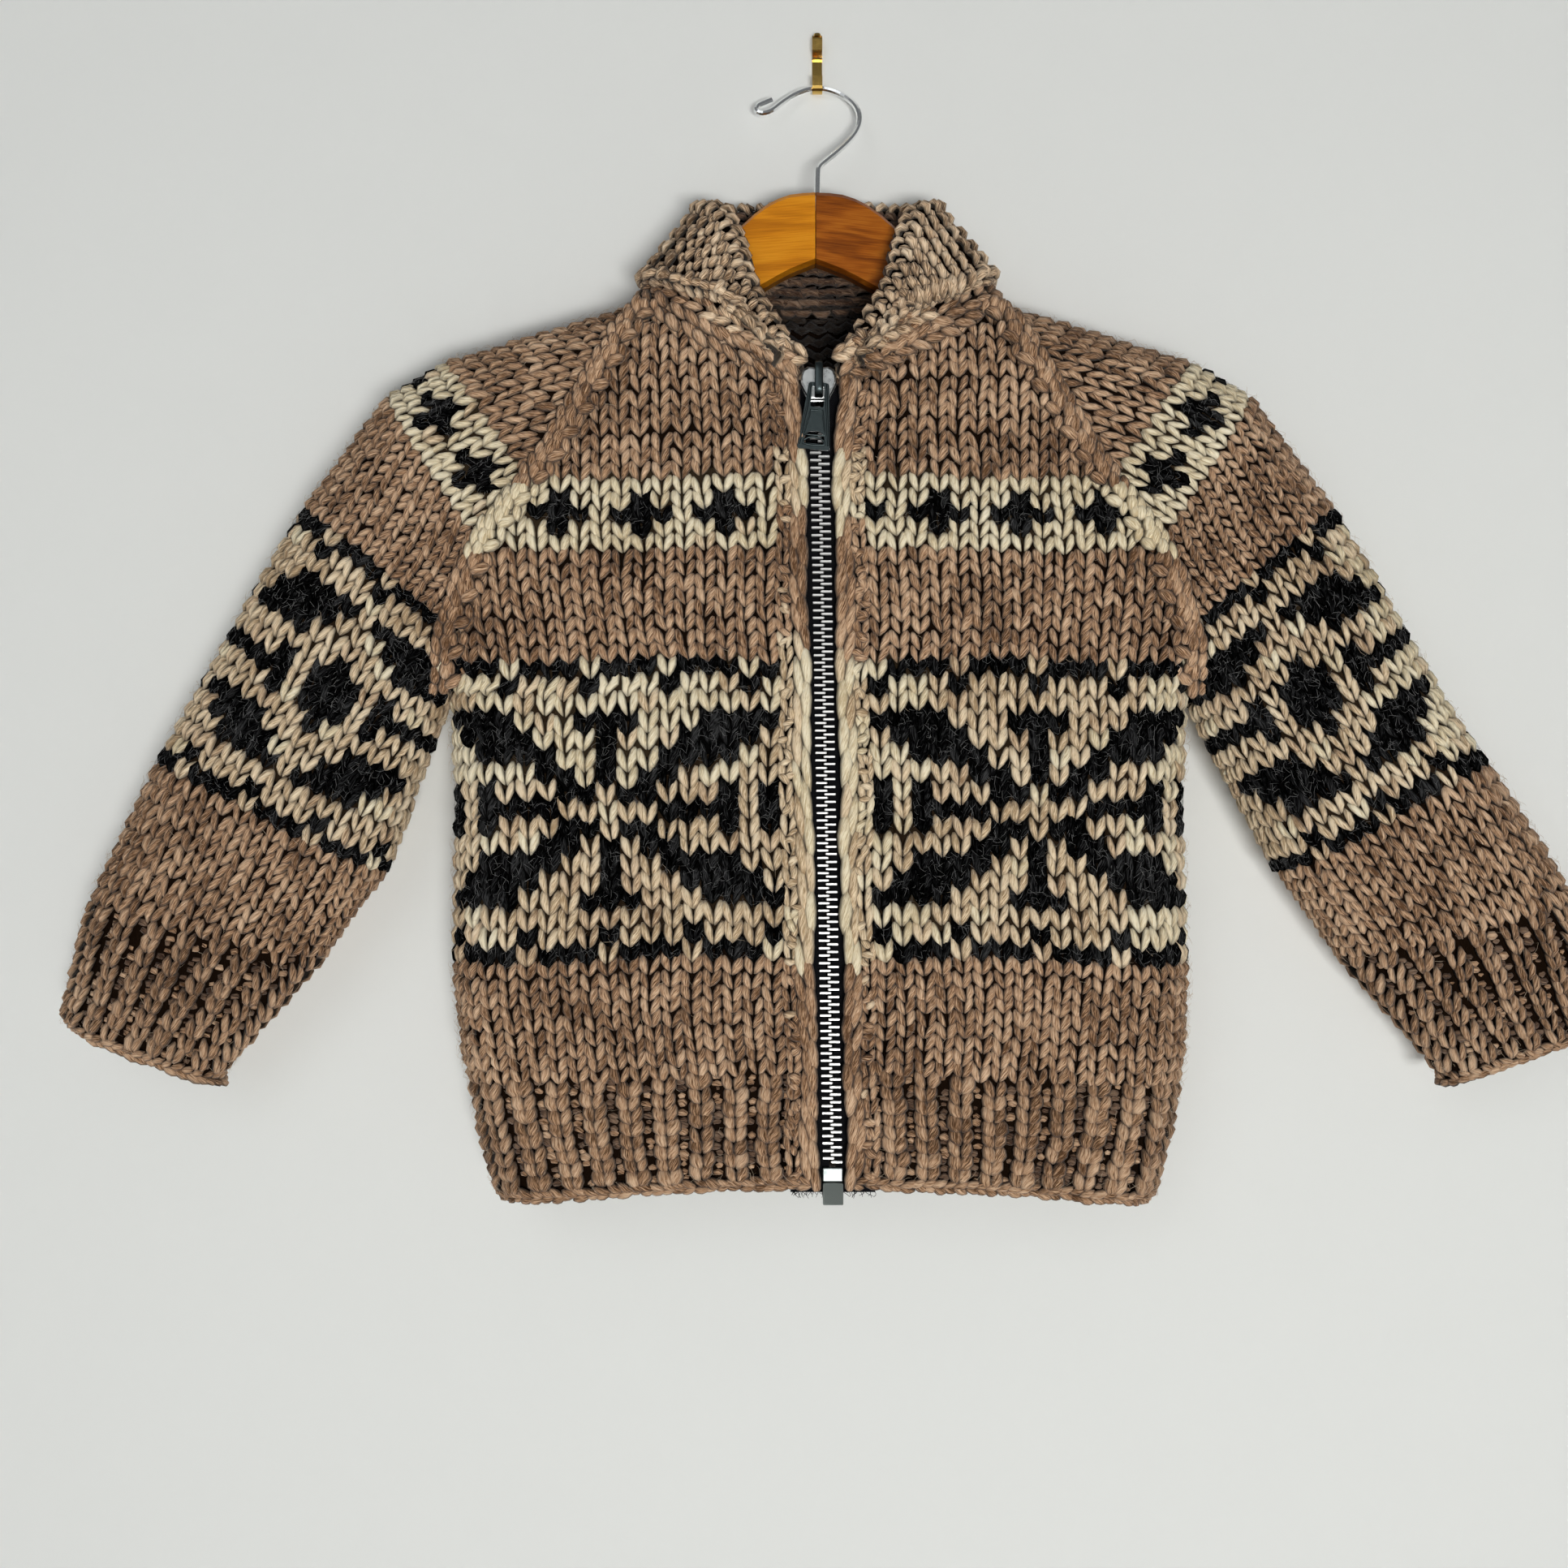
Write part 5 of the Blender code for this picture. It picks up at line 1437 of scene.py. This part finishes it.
def swept(name, path, width, thick, finish, sides=10):
    """Rounded bar along a path of points, as wide as width along X."""
    path = np.array(path, float)
    along = np.gradient(path, axis=0)
    along = unit(along)
    across = np.array([1.0, 0.0, 0.0]) - along * along[:, :1]
    across /= np.maximum(np.linalg.norm(across, axis=1), 1e-6)[:, None]
    up = np.cross(across, along)
    angle = 2 * math.pi * (np.arange(sides) + 0.5) / sides
    c, s = np.cos(angle), np.sin(angle)
    square_c, square_s = np.sign(c) * np.abs(c) ** 0.55, np.sign(s) * np.abs(s) ** 0.55
    points = (
        path[:, None]
        + across[:, None] * (square_c * width / 2)[None, :, None]
        + up[:, None] * (square_s * thick / 2)[None, :, None]
    ).reshape(-1, 3)
    count = len(path)
    faces = []
    for r in range(count - 1):
        for i in range(sides):
            a, b = r * sides + i, r * sides + (i + 1) % sides
            faces.append((a, b, b + sides, a + sides))
    faces += [tuple(range(sides)), tuple(reversed(range(len(points) - sides, len(points))))]
    return solid(name, points, faces, finish, rounded=True)


def teeth(name, finish):
    """Metal teeth set alternately from either side: blocks with eased edges."""
    high, deep = 0.62, 1.35
    # Sections from the root to the tip, then the corners of a section, each as (x, y, z) or (y, z) shares
    sections = ((-0.5, 0.72, 0.72), (-0.46, 1.0, 1.0), (0.42, 1.0, 1.0), (0.5, 0.8, 0.66))
    corners = ((-1.0, -0.72), (-1.0, 0.72), (-0.5, 1.0), (1.0, 1.0), (1.0, -1.0), (-0.5, -1.0))
    block = np.array([(x, deep * y * v, high * z * w) for x, y, z in sections for v, w in corners])
    quads = []
    for low in (0, 6, 12):
        for i in range(6):
            after = (i + 1) % 6
            quads.append((low + i, low + after, low + 6 + after, low + 6 + i))
    points, faces = [], []
    count = int((TEETH_TOP_Z - TEETH_END_Z) / TOOTH_PITCH)
    for k in range(2 * count):
        z = TEETH_TOP_Z - TOOTH_PITCH * (0.5 * k + 0.5)
        sign = -1 if k % 2 == 0 else 1
        outer, inner = zip_x(z) + sign * TOOTH_LENGTH * 0.95, zip_x(z) - sign * TOOTH_OVERLAP
        place = np.array([(outer + inner) / 2, CHAIN_Y, z]) + dice.normal(0, 0.07, 3)
        base = len(points)
        size = np.array([inner - outer, 1.0, 1.0])
        points += list(place + block * size)
        ends = [tuple(range(5, -1, -1)), tuple(range(18, 24))]
        for face in [*quads, *ends]:
            corners = [base + i for i in face]
            faces.append(corners if sign > 0 else corners[::-1])
    return solid(name, points, faces, finish)


def slider_body(name, finish):
    """Two wings over the chain with the groove that the tapes run in, rounded at every edge."""
    x = zip_x(-191.0)
    half = [(0.0, -192.4), (2.2, -191.3), (5.6, -191.0), (8.2, -192.6), (9.6, -196.0), (9.5, -199.4)]
    half += [(8.0, -202.6), (6.4, -205.6), (5.7, -207.6), (4.6, -208.2), (0.0, -208.2)]
    outline = [(x + dx, z) for dx, z in half] + [(x - dx, z) for dx, z in half[-2:0:-1]]
    layers = [(-60.6, 0.8), (-61.0, 0.1), (-62.0, 0.0), (-62.5, 1.5), (-63.9, 1.5)]
    layers += [(-64.3, 0.0), (-66.0, 0.0), (-66.8, 0.5), (-67.2, 1.5)]
    return loft(name, outline, layers, finish)


def bridge_bar(name, finish):
    """Bar that arches over the slider and holds the pull's pin."""
    x = zip_x(-199.0)
    points = [(-66.9, -206.6), (-68.6, -206.3), (-70.9, -205.3), (-72.0, -203.8), (-72.2, -201.0)]
    points += [(-72.2, -196.0), (-72.0, -192.6), (-71.0, -190.4), (-69.0, -189.4), (-67.0, -190.6)]
    points += [(-66.6, -193.0)]
    path = smooth([(x, y, z) for y, z in points], 4)
    return swept(name, path, 4.4, 1.7, finish)


def leaning(x, z):
    """A place on the pull, given from its pin, as world x and z."""
    turned_x = x * math.cos(PULL_LEAN) + z * math.sin(PULL_LEAN)
    turned_z = z * math.cos(PULL_LEAN) - x * math.sin(PULL_LEAN)
    return PULL_PIN[0] + turned_x, PULL_PIN[1] + turned_z


def pull_rims(finish):
    """Raised borders on the pull: round its sunk panel and round the slot near its foot."""
    made = []
    panel = [(-3.0, -13.4), (3.0, -13.4), (5.6, -26.2), (-5.6, -26.2)]
    eye = [(-5.6, -30.9), (-5.2, -29.0), (-3.0, -27.6), (0.0, -27.2)]
    eye += [(3.0, -27.6), (5.2, -29.0), (5.6, -30.9), (0.0, -31.5)]
    arms = [[(-4.4, 0.4), (-4.6, -6.0), (-5.0, -11.0)], [(4.4, 0.4), (4.6, -6.0), (5.0, -11.0)]]
    sides = [[(-5.0, -11.0), (-7.6, -31.5)], [(5.0, -11.0), (7.6, -31.5)]]
    for label, shape, closed, size in (("panel", panel, True, 0.9), ("slot", eye, True, 1.1)):
        loop = np.array([*shape, shape[0]], float)
        share = np.linspace(0, 1, 6, endpoint=False)[:, None]
        path = np.concatenate([a + (b - a) * share for a, b in zip(loop[:-1], loop[1:])])
        line = [(x, PULL_RIM_Y, z) for x, z in (leaning(*point) for point in path)]
        made.append(rim(f"pull_{label}_rim", line, size, closed, finish))
    for i, shape in enumerate([*arms, *sides]):
        line = [(x, PULL_EDGE_Y, z) for x, z in (leaning(*point) for point in shape)]
        made.append(rim(f"pull_edge_{i}", smooth(line, 4), 1.2, False, finish))
    return made


def rim(name, line, size, closed, finish):
    """Round wire as thick as size along a line of points."""
    curve = bpy.data.curves.new(name, "CURVE")
    curve.dimensions = "3D"
    curve.bevel_depth = size / 2 * MM
    curve.bevel_resolution = 2
    curve.use_fill_caps = not closed
    spline = curve.splines.new("POLY")
    spline.points.add(len(line) - 1)
    for point, place in zip(spline.points, line):
        point.co = (*(np.array(place) * MM), 1.0)
    spline.use_cyclic_u = closed
    curve.materials.append(finish)
    return link(name, curve)


def worn_metal_group():
    """Faint wear of metal: roughness and height follow one noise."""
    group = bpy.data.node_groups.new("worn_metal", "ShaderNodeTree")
    sockets(
        group,
        [
            ("Roughness", "NodeSocketFloat", 0.3),
            ("Scratch", "NodeSocketFloat", 0.12),
            ("Scale", "NodeSocketFloat", 900.0),
        ],
        [("Roughness", "NodeSocketFloat"), ("Height", "NodeSocketFloat")],
    )
    n = Nodes(group)
    given = n.add("NodeGroupInput")
    place = n.add("ShaderNodeTexCoord").outputs["Object"]
    noise = n.add("ShaderNodeTexNoise", {"Vector": place, "Scale": given.outputs["Scale"], "Detail": 3.0})
    height = noise.outputs[0]
    change = n.math("MULTIPLY", n.math("SUBTRACT", height, 0.5), given.outputs["Scratch"])
    rough = n.math("ADD", change, given.outputs["Roughness"])
    n.add("NodeGroupOutput", {"Roughness": rough, "Height": height})


def metal(name, colour, roughness, scratch=0.12, bump=0.05, scale=900.0, metallic=1.0):
    """Metal with faint wear."""
    made, n, shader = principled(name, colour, roughness, metallic)
    wear = n.group("worn_metal", {"Roughness": roughness, "Scratch": scratch, "Scale": scale})
    n.tree.links.new(wear.outputs["Roughness"], shader.inputs["Roughness"])
    n.relief(shader, wear.outputs["Height"], bump, 0.0002)
    return made


def knurled_metal(name):
    """Silver pressed with a fine diamond grid."""
    made, n, shader = principled(name, (0.62, 0.64, 0.62), 0.34, 1.0)
    place = n.add("ShaderNodeSeparateXYZ", {0: n.add("ShaderNodeTexCoord").outputs["Object"]})
    waves = []
    for operation in ("ADD", "SUBTRACT"):
        turned = n.math("MULTIPLY", n.math(operation, place.outputs[0], place.outputs[2]), 4600.0)
        waves.append(n.math("ABSOLUTE", n.math("SINE", turned)))
    grid = n.math("MULTIPLY", waves[0], waves[1])
    n.relief(shader, grid, 0.6, 0.0003)
    tone = n.mix(grid, (0.12, 0.14, 0.135, 1), (0.42, 0.46, 0.44, 1))
    n.tree.links.new(tone, shader.inputs["Base Color"])
    return made


def tape_cloth(name):
    """Black twill of the zip tape."""
    made, n, shader = principled(name, (0.004, 0.004, 0.005), 0.9)
    place = n.add("ShaderNodeSeparateXYZ", {0: n.add("ShaderNodeTexCoord").outputs["Object"]})
    twill = n.math("SINE", n.math("MULTIPLY", n.math("ADD", place.outputs[0], place.outputs[2]), 5200.0))
    ribs = n.math("SINE", n.math("MULTIPLY", place.outputs[2], 7800.0))
    weave = n.math("ADD", n.math("MULTIPLY", twill, 0.6), n.math("MULTIPLY", ribs, 0.4))
    n.relief(shader, weave, 0.5, 0.0002)
    raised = n.math("MULTIPLY", n.math("ADD", weave, 1.0), 0.5)
    tone = n.mix(raised, (0.0015, 0.0015, 0.002, 1), (0.009, 0.009, 0.011, 1))
    n.tree.links.new(tone, shader.inputs["Base Color"])
    shader.inputs["Specular IOR Level"].default_value = 0.06
    return made


def wood_grain_group():
    """Growth lines bent round knots, with fine pores between them."""
    group = bpy.data.node_groups.new("wood_grain", "ShaderNodeTree")
    sockets(
        group,
        [
            ("Dark", "NodeSocketColor", (0.13, 0.03, 0.003, 1)),
            ("Middle", "NodeSocketColor", (0.3, 0.08, 0.005, 1)),
            ("Light", "NodeSocketColor", (0.4, 0.14, 0.01, 1)),
            ("Knots", "NodeSocketFloat", 0.5),
            ("Turn", "NodeSocketVector", (0.0, 0.0, 0.0)),
            ("Stretch", "NodeSocketVector", (6.0, 20.0, 30.0)),
        ],
        [("Color", "NodeSocketColor"), ("Height", "NodeSocketFloat")],
    )
    n = Nodes(group)
    given = n.add("NodeGroupInput")
    place = n.add("ShaderNodeTexCoord").outputs["Object"]
    lie = {"Vector": place, "Rotation": given.outputs["Turn"], "Scale": given.outputs["Stretch"]}
    mapped = n.add("ShaderNodeMapping", lie).outputs[0]
    bend = {"Vector": mapped, "Scale": 1.6, "Detail": 2.0, "Distortion": given.outputs["Knots"]}
    warp = n.add("ShaderNodeTexNoise", bend).outputs[0]
    across = n.add("ShaderNodeSeparateXYZ", {0: mapped}).outputs[2]
    lines = n.math("SINE", n.math("ADD", n.math("MULTIPLY", across, 7.0), n.math("MULTIPLY", warp, 18.0)))
    fine = n.add("ShaderNodeMapping", {"Vector": mapped, "Scale": (3.0, 12.0, 26.0)}).outputs[0]
    pores = n.add("ShaderNodeTexNoise", {"Vector": fine, "Scale": 3.0, "Detail": 3.0}).outputs[0]
    tone = n.math("ADD", n.math("MULTIPLY", lines, 0.20), n.math("MULTIPLY", pores, 0.9))
    tone = n.math("ADD", tone, n.math("MULTIPLY", warp, 0.5))
    low = n.add("ShaderNodeMapRange", {0: tone, 1: 0.35, 2: 0.75}).outputs[0]
    high = n.add("ShaderNodeMapRange", {0: tone, 1: 0.72, 2: 1.10}).outputs[0]
    colour = n.mix(low, given.outputs["Dark"], given.outputs["Middle"])
    colour = n.mix(high, colour, given.outputs["Light"])
    n.add("NodeGroupOutput", {"Color": colour, "Height": pores})


def wood(name, dark, middle, light, knots, stretch, turn):
    """Lacquered wood with painted shade on its downward faces, its grain turned by degrees."""
    made, n, shader = principled(name, roughness=0.28)
    grain = n.group("wood_grain", {
        "Dark": (*dark, 1.0),
        "Middle": (*middle, 1.0),
        "Light": (*light, 1.0),
        "Knots": knots,
        "Turn": (0.0, math.radians(turn), 0.0),
        "Stretch": stretch,
    })
    # Painted shade: faces that turn downward are darkened
    facing = n.add("ShaderNodeNewGeometry").outputs["True Normal"]
    upright = n.add("ShaderNodeSeparateXYZ", {0: facing}).outputs[2]
    under = n.add("ShaderNodeMapRange", {0: upright, 1: -0.55, 2: -0.35, 3: 0.42, 4: 1.0}).outputs[0]
    green = n.math("MULTIPLY", under, 0.96)
    grey = n.add("ShaderNodeCombineColor", {0: under, 1: green, 2: under}).outputs[0]
    colour = n.mix(1.0, grain.outputs["Color"], grey, "MULTIPLY")
    n.tree.links.new(colour, shader.inputs["Base Color"])
    n.relief(shader, grain.outputs["Height"], 0.12, 0.0003)
    shader.inputs["Coat Weight"].default_value = 0.05
    shader.inputs["Specular IOR Level"].default_value = 0.14
    return made


def tape_threads(name):
    """Loose ends of the tapes at the hem."""
    yarn = Yarn(samples=6, sides=3)
    starts, ends, normals = [], [], []
    for _ in range(46):
        side = -1 if dice.random() < 0.5 else 1
        x = zip_x(-619.0) + side * dice.uniform(2.5, 21.5)
        start = np.array([x, TAPE_Y + dice.uniform(-0.4, 0.4), -619.0])
        starts.append(start)
        ends.append(start + np.array([dice.normal(0, 1.6), dice.normal(0, 0.4), -dice.uniform(1.2, 4.2)]))
        normals.append((dice.normal(0, 0.8), -0.6, dice.normal(0, 0.3)))
    yarn.laid(starts, ends, normals, 0.8, 0.16, 0.16, np.zeros(len(starts), int), 0.2)
    return yarn.build(name, [tape_black])


worn_metal_group()
wood_grain_group()
tape_black = tape_cloth("tape_black")
silver = metal("zip_silver", (0.66, 0.66, 0.655), 0.36, metallic=0.45)
slider_silver = metal("slider_silver", (0.66, 0.68, 0.67), 0.30, 0.2, 0.1, 500.0)
gunmetal = metal("gunmetal", (0.052, 0.066, 0.068), 0.36, 0.2, 0.12, 700.0)
pin_metal = metal("pin_metal", (0.27, 0.30, 0.30), 0.45, 0.2, 0.1, 500.0)
chrome = metal("chrome", (0.93, 0.94, 0.94), 0.20, 0.04, 0.01)
brass = metal("brass", (0.66, 0.43, 0.12), 0.20, 0.10, 0.04, 500.0)
honey = wood(
    "hanger_honey", (0.38, 0.125, 0.005), (0.58, 0.215, 0.008), (0.70, 0.30, 0.016),
    knots=0.2, stretch=(6.0, 20.0, 34.0), turn=24.0,
)
russet = wood(
    "hanger_russet", (0.13, 0.033, 0.003), (0.28, 0.075, 0.005), (0.42, 0.14, 0.012),
    knots=1.3, stretch=(7.0, 20.0, 30.0), turn=-26.0,
)
CAD_FINISHES = {
    "zip_tape_left": tape_black,
    "zip_tape_right": tape_black,
    "zip_pin": pin_metal,
    "zip_box": knurled_metal("pressed_silver"),
    "pull_tab": gunmetal,
    "hanger_left": russet,
    "hanger_right": honey,
    "hanger_hook": chrome,
    "wall_hook": brass,
    "nail_guide": brass,
    "nail_head": brass,
}


# ---------------------------------------------------------------- camera and light

# Metres
CAMERA_PLACE = (-0.0184, -0.969, -0.407)
CAMERA_FIELD = math.radians(48.3890)
WALL_Y, FLOOR_Z, ROOM_REACH = 0.0006, -1.25, 6


def add_light(name, place, target, size, power, colour=(1, 1, 1)):
    """Round lamp at a place, turned to a target; size in metres and power in watts."""
    data = bpy.data.lights.new(name, "AREA")
    data.shape = "DISK"
    data.size, data.energy, data.color = size, power, colour
    made = link(name, data)
    made.location = place
    direction = np.array(target) - np.array(place)
    made.rotation_euler = (
        math.acos(-direction[2] / np.linalg.norm(direction)),
        0.0,
        math.atan2(direction[1], direction[0]) - math.pi / 2,
    )


def stage_plane(name, corners, finish):
    """One flat face of the room, which isn't part of the object."""
    mesh = bpy.data.meshes.new(name)
    mesh.from_pydata(corners, [], [(0, 1, 2, 3)])
    mesh.materials.append(finish)
    made = link(name, mesh)
    return made


def studio():
    """Camera, painted wall, floor and lamps."""
    data = bpy.data.cameras.new("camera")
    data.angle = CAMERA_FIELD
    data.clip_end = 50
    camera = link("camera", data)
    camera.location = CAMERA_PLACE
    camera.rotation_euler = (math.pi / 2, 0, 0)
    bpy.context.scene.camera = camera
    paint, n, shader = principled("wall_paint", (0.735, 0.75, 0.735), 0.9)
    clear = n.add("ShaderNodeBsdfTransparent")
    behind = n.add("ShaderNodeNewGeometry").outputs["Backfacing"]
    mixed = n.add("ShaderNodeMixShader", {0: behind, 1: shader.outputs[0], 2: clear.outputs[0]})
    n.tree.links.new(mixed.outputs[0], n.tree.nodes["Material Output"].inputs["Surface"])
    ends = ((-ROOM_REACH, FLOOR_Z), (ROOM_REACH, FLOOR_Z), (ROOM_REACH, 3), (-ROOM_REACH, 3))
    wall = stage_plane("wall", [(x, WALL_Y, z) for x, z in ends], paint)
    wall.visible_shadow = False  # the light behind it reaches the back of the cardigan
    boards = principled("floor_paint", (0.66, 0.66, 0.64), 0.8)[0]
    ends = ((-ROOM_REACH, -ROOM_REACH), (ROOM_REACH, -ROOM_REACH), (ROOM_REACH, 4), (-ROOM_REACH, 4))
    stage_plane("floor", [(x, y, FLOOR_Z) for x, y in ends], boards)
    world = bpy.data.worlds.new("studio")
    world.use_nodes = True
    background = world.node_tree.nodes["Background"]
    background.inputs["Color"].default_value = (0.94, 0.97, 1.0, 1)
    background.inputs["Strength"].default_value = 0.15
    bpy.context.scene.world = world
    settings = bpy.context.scene.view_settings
    settings.view_transform, settings.look = "Standard", "None"
    add_light("key", (0.35, -2.6, -1.30), (0, 0, -0.42), 1.0, 118, (1.0, 0.985, 0.96))
    add_light("fill", (-1.2, -2.8, 0.5), (0, 0, -0.38), 2.0, 12, (0.96, 0.98, 1.0))
    add_light("behind", (0.3, 2.6, -0.5), (0, 0, -0.4), 1.8, 34)


studio()
PANELS = {
    # name: maker, arguments, record slot, flat size in metres, flat area in square metres
    "front_right": (front, (-1,), "knit_body", (0.203, 0.46), 0.085),
    "front_left": (front, (1,), "knit_body", (0.203, 0.46), 0.085),
    "back": (back, (), "knit_body", (0.41, 0.47), 0.175),
    "sleeve_right": (sleeve, (-1,), "knit_sleeve", (0.30, 0.46), 0.105),
    "sleeve_left": (sleeve, (1,), "knit_sleeve", (0.30, 0.46), 0.105),
}
worn_nets = []
for piece_name, (maker, arguments, slot_name, flat, area) in PANELS.items():
    net, cloth, stitches, chart = maker(piece_name, *arguments)
    for piece in (cloth, stitches):
        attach(piece, "garment")
    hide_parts(piece_name)
    folds = (0, -1) if maker is sleeve else (BODY_COLUMNS - 1, BODY_COLUMNS - 2)
    worn_nets.append((net, chart, folds))
net, cloth, stitches = collar("collar")
for piece in (cloth, stitches):
    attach(piece, "garment")
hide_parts("collar")
hairs = stray_hairs("stray_hairs", worn_nets)
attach(hairs, "garment")

zip_pieces = [
    # piece, replaced node, record slot
    (teeth("zip_teeth", silver), "zip_chain", "zip_metal"),
    (slider_body("slider_wings", slider_silver), "slider", "zip_metal"),
    (bridge_bar("slider_bridge_bar", gunmetal), "slider_bridge", "dark_metal"),
    (tape_threads("tape_threads"), None, "zip_tape"),
]
for piece, node, slot_name in zip_pieces:
    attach(piece, "garment")
    if node:
        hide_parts(node)
for piece in pull_rims(gunmetal):
    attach(piece, "zip_pull")
for node_name, finish in CAD_FINISHES.items():
    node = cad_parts[node_name]
    node.data.materials.clear()
    node.data.materials.append(finish)
